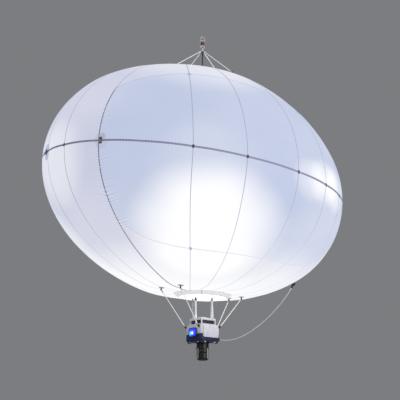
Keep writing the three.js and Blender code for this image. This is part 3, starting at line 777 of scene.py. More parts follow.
def tape(azimuths, latitudes, width, lift=0.002, thickness=0.002):
    """A flat tape laid on the fabric along a line of azimuths and latitudes."""
    count = len(azimuths)
    deselect()
    bpy.ops.mesh.primitive_grid_add(x_subdivisions=count - 1, y_subdivisions=2, size=1)
    obj = added()
    at = vertices_of(obj)
    step = np.rint((at[:, 0] + 0.5) * (count - 1)).astype(int)
    middle = skin(azimuths, latitudes, lift)
    higher = skin(azimuths, latitudes, lift + 0.01)
    along = np.gradient(middle, axis=0)
    if np.allclose(middle[0], middle[-1], atol=1e-6):
        along[0] = along[-1] = middle[1] - middle[-2]
    side = np.cross(along, higher - middle)
    side /= np.linalg.norm(side, axis=1)[:, None]
    move_vertices(obj, middle[step] - side[step] * (at[:, 1] * width)[:, None])
    edit(obj, "VERT")
    bpy.ops.mesh.remove_doubles(threshold=1e-4)
    done()
    return modify(obj, "SOLIDIFY", thickness=thickness, offset=1.0)


STRONG_SEAM_AZIMUTH = -34.0
STRONG_KNOT = -2 * GORE_TURN

# Where the seams end at the mouth and at the crown, and where the strong seam narrows, in degrees
SEAM_LOW, STRONG_HIGH, SEAM_HIGH = -79.8, 28.0, 82.0
STRONG_SEAM_TOP = CENTRE_Z + HALF_HEIGHT * math.sin(math.radians(STRONG_HIGH)) + LEAN * 1.25
SEAM_WIDTH, STRONG_WIDTH, NARROW_WIDTH = 0.011, 0.018, 0.010

# How far the front seams right of the strong one drift to -X over the crown and under it, in metres
SEAM_SWAY = {0.9: (0.35, 0.235), 19.8: (0.25, 0.225), 41.0: (0.02, 0.20), 57.5: (0.0, 0.12)}

# The large oval panel: for its upper and lower half the middle's azimuth, half its width,
# its height (all in degrees) and how square its corners are
PANEL_HALVES = {"upper": (27.0, 72.0, 46.4, 2.2), "lower": (25.0, 62.5, -46.8, 4.0)}
PANEL_TURNS = (0, 180)


def arc_metres(latitude):
    """Metres per degree along a parallel, and up a meridian on the whole."""
    degree = math.pi / 180
    return RADIUS * degree * np.cos(np.radians(latitude)), 0.5 * (RADIUS + HALF_HEIGHT) * degree


def panel_distance(azimuth, latitude):
    """How far inside the nearer oval panel's outline a point is, in metres."""
    east, north = arc_metres(latitude)
    best = np.full(len(azimuth), -9.0)
    for turn in PANEL_TURNS:
        for half, (middle, width, height, bend) in PANEL_HALVES.items():
            across = ((azimuth - turn - middle + 180) % 360 - 180) / width
            up = latitude / height
            level = np.maximum(0.05, (np.abs(across) ** bend + np.abs(up) ** bend) ** (1 / bend))
            slope_across = (np.abs(across) / level) ** (bend - 1) / (width * east)
            slope_up = (np.abs(up) / level) ** (bend - 1) / (abs(height) * north)
            inside = (1 - level) / np.hypot(slope_across, slope_up)
            to_seam = ((azimuth - turn - STRONG_SEAM_AZIMUTH + 180) % 360 - 180) * east
            inside = np.minimum(inside, to_seam)
            best = np.where(up >= 0, np.maximum(best, inside), best)
    return best


def panel_arc(half, count):
    """The azimuths and latitudes of one half of the panel's outline."""
    middle, width, height, bend = PANEL_HALVES[half]
    turn = np.linspace(math.pi, 0, 40 * count)
    across = np.sign(np.cos(turn)) * np.abs(np.cos(turn)) ** (2 / bend)
    azimuths = middle + width * across
    latitudes = height * np.clip(np.sin(turn), 0, 1) ** (2 / bend)
    kept = azimuths > STRONG_SEAM_AZIMUTH
    azimuths, latitudes = azimuths[kept], latitudes[kept]
    length = np.concatenate([[0], np.cumsum(np.hypot(np.diff(azimuths), np.diff(latitudes)))])
    even = np.linspace(0, length[-1], count)
    return np.interp(even, length, azimuths), np.interp(even, length, latitudes)


def meridian_length(latitude):
    steps = np.radians(np.linspace(-90, 90, 721))
    pace = np.hypot(RADIUS * np.sin(steps), HALF_HEIGHT * np.cos(steps))
    length = np.concatenate([[0], np.cumsum((pace[1:] + pace[:-1]) / 2 * np.diff(steps))])
    return np.interp(np.radians(latitude), steps, length) - np.interp(0, steps, length)


def add_values(obj, name, values):
    layer = obj.data.attributes.new(name, "FLOAT", "POINT")
    layer.data.foreach_set("value", np.asarray(values, np.float32))


# How far apart the gathers stand along the strong seam and along the band, and how deep they are
SEAM_GATHER, BAND_GATHER, GATHER_DEPTH = 0.042, 0.046, 0.0028
# How finely the fabric is divided round each gore and from pole to pole
GORE_STEPS, FABRIC_RINGS = 16, 132


def make_envelope():
    """One sheet of coated fabric, drawn to its gores, gathered by two seams, with an open mouth."""
    mouth = -math.sqrt(1 - (MOUTH_RADIUS / RADIUS) ** 2)
    deselect()
    bpy.ops.mesh.primitive_uv_sphere_add(segments=GORE_STEPS * GORES, ring_count=FABRIC_RINGS, radius=1)
    obj = added()
    edit(obj)
    bpy.ops.mesh.bisect(plane_co=(0, 0, mouth), plane_no=(0, 0, 1), clear_inner=True)
    done()

    def gathered(centre, normal):
        turn = math.degrees(math.atan2(centre.x, -centre.y))
        rise = math.degrees(math.asin(centre.z / centre.length))
        by_seam = abs(turn - STRONG_KNOT) < 6.5 and -54 < rise < 27
        return by_seam or (STRONG_KNOT < turn < 1 and abs(rise) < 4)

    pick(obj, gathered)
    bpy.ops.mesh.subdivide(number_cuts=5)
    done()
    at = vertices_of(obj)
    at /= np.linalg.norm(at, axis=1)[:, None]
    regular = np.degrees(np.arctan2(at[:, 0], -at[:, 1]))
    latitude = np.degrees(np.arcsin(np.clip(at[:, 2], -1, 1)))
    azimuth = np.interp(regular, KNOTS, SEAMS)
    rise = meridian_length(latitude)
    along = (azimuth - STRONG_SEAM_AZIMUTH) * arc_metres(latitude)[0]

    # Folds square to the strong seam, weaker where the band holds it, and upright ones along the band
    slant = rise - 0.22 * np.abs(along)
    length = np.where(along > 0, 0.17, 0.11) * (1 + 0.35 * np.sin(19 * slant) + 0.30 * np.sin(47 * slant + 2))
    seam_reach = np.exp(-(along / length) ** 2) * np.clip(1 - (np.abs(along) - 0.20) / 0.06, 0, 1)
    seam_reach *= np.clip((26 - latitude) / 8, 0, 1) * np.clip((latitude + 52) / 14, 0, 1)
    seam_reach *= np.clip((np.abs(latitude) - 3.0) / 3, 0, 1)
    uneven = 0.55 + 0.45 * np.sin(23 * slant + 1) * np.sin(37 * slant)
    wander = 1.3 * np.sin(2.1 * slant) + 1.9 * np.sin(5.3 * slant + 1) + 1.1 * np.sin(13 * slant)
    seam_fold = uneven * np.sin(2 * math.pi * slant / SEAM_GATHER + 2 * wander)
    front = np.clip((azimuth + 30.5) / 8, 0, 1) * np.clip((0 - azimuth) / 8, 0, 1)
    band_reach = np.exp(-(rise / 0.09) ** 2) * np.clip(1 - (np.abs(rise) - 0.13) / 0.04, 0, 1) * front
    band_fold = np.sin(2 * math.pi * along / BAND_GATHER + 1.6 * np.sin(7 * along) + 0.6 * np.sin(31 * rise))
    band_fold *= 0.6 + 0.4 * np.sin(17 * along)
    fold = np.where(seam_reach > band_reach, seam_reach * seam_fold, 0.6 * band_reach * band_fold)
    raised = fold + np.maximum(seam_reach, band_reach)
    move_vertices(obj, skin(azimuth, latitude, GATHER_DEPTH * raised))
    # The folds' heights, which the fabric's glow reads as painted light and shade
    add_values(obj, "fold", fold)
    add_values(obj, "panel", panel_distance(azimuth, latitude))
    add_cloth_map(obj, regular, latitude, rise)
    return obj


def add_cloth_map(obj, regular, latitude, rise):
    """Maps the sheet in metres: along the widest line and up the meridian, without a jump at the back."""
    layer = obj.data.uv_layers.new(name="cloth")
    starts = np.empty(len(obj.data.polygons), int)
    totals = np.empty(len(obj.data.polygons), int)
    corners = np.empty(len(obj.data.loops), int)
    obj.data.polygons.foreach_get("loop_start", starts)
    obj.data.polygons.foreach_get("loop_total", totals)
    obj.data.loops.foreach_get("vertex_index", corners)
    face_of = np.repeat(np.arange(len(starts)), totals)
    turn = np.radians(regular[corners])
    polar = np.abs(latitude[corners]) > 89.9
    turn_x = np.where(polar, 0, np.cos(turn))
    turn_y = np.where(polar, 0, np.sin(turn))
    middle = np.degrees(np.arctan2(np.bincount(face_of, turn_y), np.bincount(face_of, turn_x)))[face_of]
    offset = np.where(polar, 0, (regular[corners] - middle + 180) % 360 - 180)
    across = (middle + offset) * math.pi / 180 * RADIUS
    layer.data.foreach_set("uv", np.stack([across, rise[corners]], -1).astype(np.float32).ravel())
    obj.data.uv_layers.active = layer


CLOTH_ANGLE = 60
envelope = dress(make_envelope(), "envelope_cloth", FABRIC, "lit_fabric", "envelope", angle=CLOTH_ANGLE)

cable = wire(CABLE_ROUTE, CABLE_DIAMETER / 2, sides=16)
dress(cable, "supply_cable_hung", CABLE_GREY, "cable_black", "supply_cable")


def seam_line(azimuth, latitudes):
    """The azimuths of a seam that crosses the widest line at one azimuth."""
    over, under = SEAM_SWAY.get(azimuth, (0, 0))
    drift = np.where(latitudes > 0, over, under) * np.abs(np.sin(np.radians(latitudes))) ** 1.5
    reach = RADIUS * np.cos(np.radians(latitudes)) * math.cos(math.radians(azimuth))
    return azimuth - np.degrees(np.arctan(drift / reach))


def make_gore_seams(azimuths):
    """Tapes over the gore seams, from the crown to the mouth."""
    latitudes = np.linspace(SEAM_LOW, SEAM_HIGH, 84)
    lines = [seam_line(azimuth, latitudes) for azimuth in azimuths]
    return joined([tape(line, latitudes, SEAM_WIDTH, lift=0.0015) for line in lines])


def strong_tape(low, high, count, width, lift=0.002, thickness=0.002):
    latitudes = np.linspace(low, high, count)
    return tape(np.full(count, STRONG_SEAM_AZIMUTH), latitudes, width, lift, thickness)


# The photo shows no tape between the strong seam and the middle one, on either side
UNTAPED_SEAMS = (STRONG_SEAM_AZIMUTH, -17.0, 162.0)
TAPED_SEAMS = [azimuth for azimuth in SEAMS[:-1] if azimuth not in UNTAPED_SEAMS]
dress(make_gore_seams(TAPED_SEAMS), "gore_seams", SEAM_TAPE, "lit_fabric")
strong_low = strong_tape(SEAM_LOW, STRONG_HIGH, 60, STRONG_WIDTH, thickness=0.003)
strong_high = strong_tape(STRONG_HIGH, SEAM_HIGH, 40, NARROW_WIDTH, lift=0.0015)
strong = dress(joined([strong_low, strong_high]), "strong_seam", STRONG_SEAM, "webbing_grey")
paint(strong, SEAM_TAPE, lambda centre, normal: centre.z > STRONG_SEAM_TOP)

panel_seams = []
for turn in PANEL_TURNS:
    for half in PANEL_HALVES:
        azimuths, latitudes = panel_arc(half, 90)
        panel_seams.append(tape(azimuths + turn, latitudes, SEAM_WIDTH))
dress(joined(panel_seams), "panel_seams", PANEL_SEAM, "lit_fabric")

ring_azimuths = np.linspace(-180, 180, GORE_STEPS * GORES + 1)
band = tape(ring_azimuths, np.zeros(len(ring_azimuths)), 0.030, lift=0.0045, thickness=0.003)
dress(band, "equator_webbing", BAND_WEBBING, "webbing_grey", "equator_band")


def make_band_tab():
    """A small sewn tab where a gore seam crosses the band."""
    tab = block((0.036, 0.052, 0.004), (0, 0, 0.0095), rounding=0.0015)
    bar = block((0.022, 0.006, 0.003), (0, 0.016, 0.012), rounding=0.001)
    low_bar = place(copy_of(bar), (0, -0.032, 0))
    return joined([tab, bar, low_bar])


tab = make_band_tab()
tabs = [lay(copy_of(tab), azimuth, 0.0) for azimuth in TAPED_SEAMS]
bpy.data.objects.remove(tab)
dress(joined(tabs), "band_tabs", PATCH_GREY, "webbing_grey")


def cut_corners(obj, axis, width, segments, rounding):
    """Rounds or chamfers a block's edges that run along an axis, and then the other edges."""
    pick(obj, lambda centre, direction: abs(direction[axis]) > 0.99, "EDGE")
    bpy.ops.mesh.bevel(offset=width, segments=segments, affect="EDGES")
    done()
    return bevel(obj, rounding) if rounding else obj


def side_plate(width, height, corner, depth, at, rounding=0.0):
    """A plate upright in X and Z with round corners."""
    return cut_corners(block((width, depth, height), at), 1, corner, 7, rounding)


def wrap(obj, azimuth, latitude):
    """Lays a flat piece on the fabric so that it follows its curve: X eastward, Y up, Z out."""
    at = vertices_of(obj)
    rise = math.radians(latitude)
    pace = math.hypot(RADIUS * math.sin(rise), HALF_HEIGHT * math.cos(rise))
    azimuths = azimuth + np.degrees(at[:, 0] / (RADIUS * math.cos(rise)))
    return move_vertices(obj, skin(azimuths, latitude + np.degrees(at[:, 1] / pace), at[:, 2]))


def nearest_on_skin(point):
    """The azimuth and latitude of the fabric nearest to a point."""
    azimuth, latitude, reach = 0.0, 0.0, 90.0
    for _ in range(4):
        rises = np.clip(np.linspace(latitude - reach, latitude + reach, 181), -90, 90)
        turns = np.linspace(azimuth - 2 * reach, azimuth + 2 * reach, 361)
        turn_grid, rise_grid = np.meshgrid(turns, rises)
        distance = np.linalg.norm(skin(turn_grid, rise_grid) - np.array(point), axis=-1)
        best = distance.argmin()
        azimuth, latitude, reach = turn_grid.flat[best], rise_grid.flat[best], reach / 30
    return azimuth, latitude


# Rope, laid from three strands

ROPE_RADIUS = 0.007
# A strand's distance from the rope's middle and its own radius, as shares of the rope's radius
STRAND_REACH, STRAND_SIZE = 0.47, 0.53
# From a rope's end to the middle of the knob that it is spliced to
KNOB_CLEAR = 0.0143
KNOB_RADIUS, KNOB_HEIGHT = 0.0138, 0.034


def laid_rope(start, end, radius, lay_length=0.10, sides=7):
    length = (end - start).length
    turns = length / lay_length
    strands = []
    for at in circle_points(STRAND_REACH * radius, 3):
        deselect()
        bpy.ops.mesh.primitive_circle_add(vertices=sides, radius=STRAND_SIZE * radius, location=at)
        strand = added()
        steps = max(12, int(10 * turns))
        modify(strand, "SCREW", angle=2 * math.pi * turns, screw_offset=length,
               steps=steps, render_steps=steps)
        edit(strand, "EDGE")
        bpy.ops.mesh.select_all(action="DESELECT")
        bpy.ops.mesh.select_non_manifold()
        bpy.ops.mesh.edge_face_add()
        bpy.ops.mesh.select_all(action="SELECT")
        bpy.ops.mesh.normals_make_consistent(inside=False)
        done()
        strands.append(strand)
    return aim(joined(strands), start, end - start)


def ferrule(at, direction, radius, length=0.052):
    """A pressed sleeve on the end of a rope."""
    sleeve = turned([(0, 0), (radius, 0), (1.4 * radius, 0.12 * length), (1.45 * radius, 0.5 * length),
                     (1.4 * radius, 0.88 * length), (radius, length), (0, length)], 16)
    return aim(sleeve, at, direction)


def eye_knob(plate_radius, cloth_radius):
    """A sewn cloth round, a moulded plate riveted to it and the knob that a line is spliced to."""
    cloth = turned([(0, 0.0004), (cloth_radius, 0.0004), (cloth_radius, 0.0016), (0, 0.0030)], 40)
    plate = turned([
        (0, 0.002), (plate_radius - 0.003, 0.002), (plate_radius, 0.0040), (plate_radius - 0.002, 0.0070),
        (0.6 * plate_radius, 0.0087), (0.014, 0.0105), (0.0088, 0.0155), (0.0078, KNOB_HEIGHT - 0.008),
        (0, KNOB_HEIGHT - 0.008)], 40)
    knob = ball(KNOB_RADIUS, (0, 0, KNOB_HEIGHT), 24, 14)
    neck_ring = ring(0.0095, 0.0022, (0, 0, KNOB_HEIGHT - 0.0125), around=24, across=8)
    rivet = turned([(0.0042, 0), (0.0036, 0.0016), (0.0018, 0.0026), (0, 0.0028)], 10)
    rivets = copies_at(rivet, circle_points(0.8 * plate_radius, 6, 0.0072, 30))
    return joined([cloth, plate, knob, neck_ring] + rivets)


def hang_line(line, anchor, plate_radius, cloth_radius, anchor_below):
    """A laid rope for a straight CAD line, and the sewn anchor that it ends in."""
    low, high = line_ends(line)
    far, near = (low, high) if anchor_below else (high, low)
    along = (far - near).normalized()
    ends = [ferrule(near, along, ROPE_RADIUS), ferrule(far, -along, ROPE_RADIUS)]
    rope = joined([laid_rope(near, far, ROPE_RADIUS)] + ends)
    dress(rope, line + "_rope", ROPE_WHITE_LIT, "rope_white", line)
    paint(rope, STEEL, lambda centre, normal: min((centre - near).length, (centre - far).length) < 0.045)
    azimuth, latitude = nearest_on_skin(far + along * KNOB_CLEAR)
    piece = lay(eye_knob(plate_radius, cloth_radius), azimuth, latitude)
    dress(piece, anchor + "_sewn", ANCHOR_CLOTH, "patch_grey", anchor)
    rise = seat(azimuth, latitude).inverted()
    paint(piece, BLACK, lambda centre, normal: (rise @ centre).z > 0.0105)


for index in range(1, 5):
    hang_line("bridle_%d" % index, "crown_anchor_%d" % index, 0.060, 0.090, True)
for corner in ("front_left", "back_left", "front_right", "back_right"):
    hang_line("stay_" + corner, "stay_anchor_" + corner, 0.032, 0.050, False)


# Hanging gear

PIN_Z = -0.062
BOW_HALF = 0.033
BOW_WIRE = 0.009
LOBE_Z = -0.148
RING_Z = -0.1808
HUB_Z = -0.243
HUB_EYE_Z = -0.2136


def cross_rod(radius, half, z, sides=32, rounding=0.0):
    """A rod along X, half as long on either side of the axis."""
    return rod(radius, (-half, 0, z), (half, 0, z), sides, rounding)


def make_shackle_bow():
    bend = BOW_WIRE - BOW_HALF
    arc = np.linspace(math.pi, 0, 17)
    low, middle = PIN_Z + 0.012, (PIN_Z + bend) / 2
    points = [(-BOW_HALF, 0, low), (-BOW_HALF, 0, middle)]
    points += [(BOW_HALF * math.cos(turn), 0, bend + BOW_HALF * math.sin(turn)) for turn in arc]
    points += [(BOW_HALF, 0, middle), (BOW_HALF, 0, low)]
    pieces = [wire(points, BOW_WIRE, sides=20, smooth=False)]
    for side in (-1, 1):
        at = side * BOW_HALF
        boss = rod(0.018, (at - 0.009, 0, PIN_Z), (at + 0.009, 0, PIN_Z), 32, 0.002)
        pieces.append(carve(boss, cross_rod(0.0095, 0.06, PIN_Z)))
        neck = turned([(0, 0), (0.0092, 0), (0.0100, 0.008), (0.0132, 0.016), (0, 0.016)], 20)
        pieces.append(aim(neck, (at, 0, PIN_Z + 0.029), (0, 0, -1)))
    return joined(pieces)


def make_shackle_pin():
    outer = BOW_HALF + 0.0093
    pieces = [cross_rod(0.009, outer + 0.010, PIN_Z, 28, 0.0012)]
    for side in (-1, 1):
        face, end = [(side * (outer + reach), 0, PIN_Z) for reach in (0.0018, 0.0095)]
        pieces.append(rod(0.014, face, end, 6, 0.001))
        pieces.append(rod(0.0145, (side * outer, 0, PIN_Z), face, 28, 0.0004))
    pieces.append(ring(0.0052, 0.0010, (outer + 0.0088, 0, PIN_Z - 0.0105), 20, 8, tilt=20))
    return joined(pieces)


def make_swivel_eye():
    eye = carve(cross_rod(0.022, 0.015, PIN_Z, 40, 0.0035), cross_rod(0.0094, 0.03, PIN_Z, 28))
    stem = turned([(0, -0.1183), (0.018, -0.1183), (0.018, -0.1104), (0.010, -0.1102), (0.010, -0.0885),
                   (0.0150, -0.0865), (0.0150, -0.0835), (0.0115, -0.0810), (0, -0.0810)], 32)
    return joined([eye, stem])


def make_swivel_body():
    shell = turned([
        (0.0108, -0.108), (0.0108, -0.0900), (0.0235, -0.0900), (0.0272, -0.0922), (0.0296, -0.0962),
        (0.0300, -0.1010), (0.0300, -0.1245), (0.0286, -0.1252), (0.0286, -0.1272), (0.0300, -0.1280),
        (0.0292, -0.1325), (0.0245, -0.1385), (0.0200, -0.1418), (0, -0.1420)], 48)
    nipple = turned([(0, 0), (0.0035, 0), (0.0035, 0.003), (0.0022, 0.004), (0.0026, 0.007), (0, 0.009)], 12)
    aim(nipple, (0, -0.0298, -0.112), (0, -1, 0))
    screws = [aim(stud(0.0030, 0.0012, 0.0014, 12), (x, y, z), (x, y, 0))
              for x, y, z in circle_points(0.0295, 6, -0.1185)]
    return joined([shell, nipple] + screws)


def make_swivel_lobe():
    return carve(cross_rod(0.022, 0.007, LOBE_Z, 40, 0.0025), cross_rod(0.012, 0.02, LOBE_Z, 28))


def make_ring():
    gate = turned([(0, 0), (0.0086, 0), (0.0108, 0.002), (0.0108, 0.020), (0.0086, 0.022), (0, 0.022)], 6)
    place(gate, (-0.0299, 0, RING_Z - 0.011))
    return joined([ring(0.030, 0.008, (0, 0, RING_Z), 48, 16, tilt=90), gate])


def make_hub():
    body = turned([
        (0, -0.0235), (0.0110, -0.0215), (0.0195, -0.014), (0.0238, -0.004), (0.0238, 0.006), (0.0185, 0.015),
        (0.0100, 0.021), (0, 0.0215)], 36, base=HUB_Z)
    eye = carve(cross_rod(0.019, 0.007, HUB_EYE_Z, 36, 0.0025), cross_rod(0.012, 0.02, HUB_EYE_Z, 28))
    return joined([body, eye, ring(0.0236, 0.0022, (0, 0, HUB_Z + 0.001), around=40, across=10)])


dress(make_shackle_bow(), "shackle_bow_forged", STEEL, "hanger_steel", "shackle_bow", body="hanger")
dress(make_shackle_pin(), "shackle_pin_turned", STEEL, "hanger_steel", "shackle_pin", body="hanger", angle=30)
dress(make_swivel_eye(), "swivel_eye_turned", STEEL, "hanger_steel", "swivel_eye", body="hanger")
swivel_body = dress(make_swivel_body(), "swivel_body", RED, "swivel_red", "swivel_housing")
paint(swivel_body, BLACK, lambda centre, normal: centre.z < -0.1255)
dress(make_swivel_lobe(), "swivel_lobe", STEEL, "hanger_steel")
dress(make_ring(), "ring_with_gate", STEEL, "hanger_steel", "master_ring")
dress(make_hub(), "hub_forged", STEEL, "hanger_steel", "bridle_hub")


# Crown plate and tether

CROWN_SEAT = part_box("crown_plate")[0][2]
TETHER_RADIUS = 0.013


def make_crown_plate():
    plate = turned([
        (0, 0), (0.138, 0), (0.147, 0.002), (0.150, 0.0055), (0.146, 0.0078), (0.062, 0.014),
        (0.044, 0.017), (0.035, 0.0225), (0.031, 0.034), (0.028, 0.043), (0.024, 0.0448), (0, 0.0448)], 64)
    rib = block((0.084, 0.005, 0.010), (0.082, 0, 0.0125), rounding=0.0015)
    bolt = turned([(0, 0), (0.0085, 0), (0.0085, 0.005), (0.0068, 0.0062), (0, 0.0064)], 6)
    bolts = copies_at(bolt, circle_points(0.126, 8, 0.0078, 22.5))
    return place(joined([plate] + copies_about(rib, 8) + bolts), (0, 0, CROWN_SEAT))


def make_tether():
    low, high = line_ends("crown_tether")
    up = (high - low).normalized()
    ends = [ferrule(low, up, TETHER_RADIUS, 0.06), ferrule(high, -up, TETHER_RADIUS, 0.06)]
    return joined([laid_rope(low, high, TETHER_RADIUS, lay_length=0.12, sides=9)] + ends)


dress(make_crown_plate(), "crown_plate_moulded", CROWN_GREY, "crown_grey", "crown_plate")
dress(make_tether(), "crown_tether_rope", TETHER_DARK, "tether_black", "crown_tether")


# Guy plates on the widest line

GUY_PLATE = (0.056, 0.0078, 0.104)
GUY_MOUNT_RISE, GUY_MOUNT_REACH = 0.035, 0.008
LUG_REACH, LUG_DROP, LUG_RIM = 0.026, 0.014, 0.020


def make_guy_plate():
    """Upright on the plane y = 0 and facing -Y, with its bolts, its lug and the lug's eye."""
    width, depth, height = GUY_PLATE
    plate = side_plate(width, height, 0.010, depth, (0, -depth / 2, 0), 0.0012)
    lug = block((0.009, LUG_REACH, 2 * LUG_RIM), (0, -LUG_REACH / 2 - 0.004, -LUG_DROP), rounding=0.001)
    end = rod(LUG_RIM, (-0.0045, -LUG_REACH, -LUG_DROP), (0.0045, -LUG_REACH, -LUG_DROP), 32)
    modify(lug, "BOOLEAN", operation="UNION", object=end, solver="EXACT")
    bpy.data.objects.remove(end)
    carve(lug, rod(0.0115, (-0.02, -LUG_REACH, -LUG_DROP), (0.02, -LUG_REACH, -LUG_DROP), 24))
    pieces = [plate, lug]
    for side in (-1, 1):
        low, high = [(side * 0.0050, -0.0080, -LUG_DROP + reach) for reach in (-0.018, 0.018)]
        pieces.append(rod(0.0028, low, high, 8))
        for z in (-0.042, 0.020, 0.042):
            bolt = turned([(0, 0), (0.0058, 0), (0.0058, 0.0034), (0.0045, 0.0044), (0, 0.0046)], 6)
            pieces.append(aim(bolt, (side * 0.019, -0.0076, z), (0, -1, 0)))
    return joined(pieces)


def doubler_round(radius, thickness):
    """A round of cloth under a fitting, with a sloped hem and a ring of points to follow the fabric."""
    low, middle = 0.0002, 0.06
    return turned([(0, low), (middle, low), (radius, low), (radius, thickness - 0.0004),
                   (radius - 0.005, thickness), (middle, thickness), (0, thickness)], 48)


guy_mounts = [mount for mount in frame["record"]["mounts"] if mount["name"].startswith("guy_")]
for number, mount in enumerate(guy_mounts, 1):
    outward = Vector(mount["axis"])
    turn = math.degrees(math.atan2(outward.x, -outward.y))
    middle = Vector(mount["pos_m"]) - outward * GUY_MOUNT_REACH - Vector((0, 0, GUY_MOUNT_RISE))
    plate = place(make_guy_plate(), middle, (0, 0, turn))
    dress(plate, "guy_plate_%d_bolted" % number, PLATE_GREY, "guy_steel", "guy_plate_%d" % number)
    azimuth, latitude = nearest_on_skin(middle)
    doubler = wrap(doubler_round(0.125, 0.0018), azimuth, latitude)
    dress(doubler, "guy_doubler_%d" % number, DOUBLER_CLOTH, "lit_fabric", angle=CLOTH_ANGLE)


# Mouth: the sewn collar sleeve and the lit panel that closes it

COLLAR_INNER, COLLAR_OUTER, COLLAR_DEPTH = 0.392, 0.488, 0.058
PANEL_RADIUS = 0.3902
PANEL_THICKNESS = 0.012


def skin_height(radius):
    return -HALF_HEIGHT * math.sqrt(1 - (radius / RADIUS) ** 2)


def make_collar():
    """A cloth sleeve that hangs from the mouth, gathered a little where it is sewn on."""
    below = [(COLLAR_INNER, 0.024), (COLLAR_INNER, 0.040), (COLLAR_INNER, 0.054), (0.3935, COLLAR_DEPTH),
             (0.4005, COLLAR_DEPTH), (0.4030, 0.0565), (0.422, 0.0465), (0.442, 0.0345), (0.462, 0.0210),
             (0.478, 0.0085), (COLLAR_OUTER, 0.0012), (0.460, 0.0012), (MOUTH_RADIUS + 0.0015, 0.0012)]
    collar = turned([(radius, skin_height(radius) - depth) for radius, depth in below], 160, closed=True)
    at = vertices_of(collar)
    turn = np.arctan2(at[:, 0], -at[:, 1])
    reach = np.hypot(at[:, 0], at[:, 1])
    outer = np.clip((reach - 0.404) / 0.03, 0, 1) * np.clip((COLLAR_OUTER - reach) / 0.02, 0, 1)
    pucker = 0.0022 * np.sin(46 * turn + 2.0 * np.sin(5 * turn)) + 0.0012 * np.sin(73 * turn)
    return move_vertices(collar, lean(at[:, 0], at[:, 1], at[:, 2] - outer * pucker))


def make_collar_seams():
    """Raised tapes across the sleeve, one at each of its sewn joints."""
    half = 0.048
    strips = []
    for azimuth in range(-170, 190, 24):
        strip = block((0.010, 2 * half, 0.003), rounding=0.0008)
        at = vertices_of(strip)
        reach = np.interp(at[:, 1], [-half, half], [COLLAR_OUTER - 0.002, COLLAR_INNER + 0.0105])
        depth = np.interp(at[:, 1], [-half, half], [0.002, COLLAR_DEPTH - 0.0012]) - at[:, 2] - 0.0005
        turn = math.radians(azimuth) + at[:, 0] / reach
        height = np.array([skin_height(r) for r in reach]) - depth - 0.0012
        strips.append(move_vertices(strip, lean(reach * np.sin(turn), -reach * np.cos(turn), height)))
    return joined(strips)


def make_mouth_panel():
    """A cloth disc held tight in the collar, with a hem and seams across it."""
    disc = turned([
        (0, 0), (0.13, 0), (0.26, 0), (0.366, 0), (0.368, -0.0014), (0.386, -0.0014), (PANEL_RADIUS, 0.001),
        (PANEL_RADIUS, PANEL_THICKNESS), (0, PANEL_THICKNESS)], 96, base=PANEL_BOTTOM)
    seams = [spin(block((0.732, 0.012, 0.0012), (0, 0, PANEL_BOTTOM - 0.0004)), angle)
             for angle in range(20, 200, 45)]
    return joined([disc] + seams)


collar = dress(make_collar(), "collar_sleeve", COLLAR_CLOTH, "collar_cloth", "mouth_collar")
# The faces that look inward get the painted light of the sleeve's inner side
paint(collar, COLLAR_INSIDE_LIT, lambda centre, normal: centre.x * normal.x + centre.y * normal.y < 0.01)
dress(make_collar_seams(), "collar_seams", COLLAR_SEAM, "collar_cloth")
mouth_panel = dress(make_mouth_panel(), "mouth_panel_laced", PANEL_CLOTH, "lit_fabric", "mouth_panel")


# Supply box, modelled square to the axes and then turned by BOX_TURN

HALF_BOX = BOX_SIDE / 2
CHAMFER = 0.026
LIP = 0.004
# The side's face, over the base's lip, that the cover and the bezel bear on
COVER_FACE = -HALF_BOX - LIP - 0.0003
RAIL_SIDE, RAIL_BAR = 0.308, 0.022
LONG_WINDOW, WINDOW_WIDTH, WINDOW_HEIGHT, WINDOW_OFFSET = 0.272, 0.128, 0.062, 0.072
COVER_Z = -5.191
DOME_TOP = RAIL_TOP + 0.030
LAMP_AT = (0.004, 0, -5.206)
# The sides without the cover, in quarter turns
PLAIN_SIDES = (1, 2, 3)


def on_box(obj, quarter=0):
    """Turns a piece modelled for the side that faces -Y to a side of the box, in quarter turns."""
    return spin(obj, BOX_TURN + 90 * quarter)


def chamfered_block(side, bottom, top, chamfer, rounding):
    obj = block((side, side, top - bottom), (0, 0, (top + bottom) / 2))
    return cut_corners(obj, 2, chamfer, 1, rounding)


def screw(at, radius=0.0055):
    """A pan-head screw with a cross recess, facing -Y."""
    height, slot = 0.0030, 0.0012
    head = turned([(0, 0), (radius, 0), (radius, 0.0008), (0.8 * radius, 0.0024), (0, height)], 16)
    carve(head, block((1.2 * radius, slot, height), (0, 0, height)),
          block((slot, 1.2 * radius, height), (0, 0, height)))
    return aim(head, at, (0, -1, 0))


def make_housing():
    body = chamfered_block(BOX_SIDE, BASE_TOP + 0.0003, HOUSING_TOP - 0.010, CHAMFER, 0.0015)
    roof = chamfered_block(BOX_SIDE + 0.004, HOUSING_TOP - 0.011, HOUSING_TOP, CHAMFER + 0.002, 0.003)
    pieces = [body, roof]
    corner = (0, -(HALF_BOX * 2 - CHAMFER) / math.sqrt(2) - 0.0005, (HOUSING_TOP + BASE_TOP) / 2 - 0.004)
    for quarter in range(4):
        column = block((0.030, 0.006, HOUSING_TOP - BASE_TOP - 0.014), corner, rounding=0.0015)
        pieces.append(spin(column, 45 + 90 * quarter))
        skirt = side_plate(0.336, 0.010, 0.003, 0.005, (0, -HALF_BOX - 0.001, BASE_TOP + 0.008), 0.001)
        pieces.append(spin(skirt, 90 * quarter))
    for quarter in PLAIN_SIDES:
        panel = side_plate(0.330, 0.116, 0.010, 0.004, (0, -HALF_BOX - 0.0005, -5.153), 0.001)
        pieces.append(spin(panel, 90 * quarter))
    return on_box(joined(pieces))


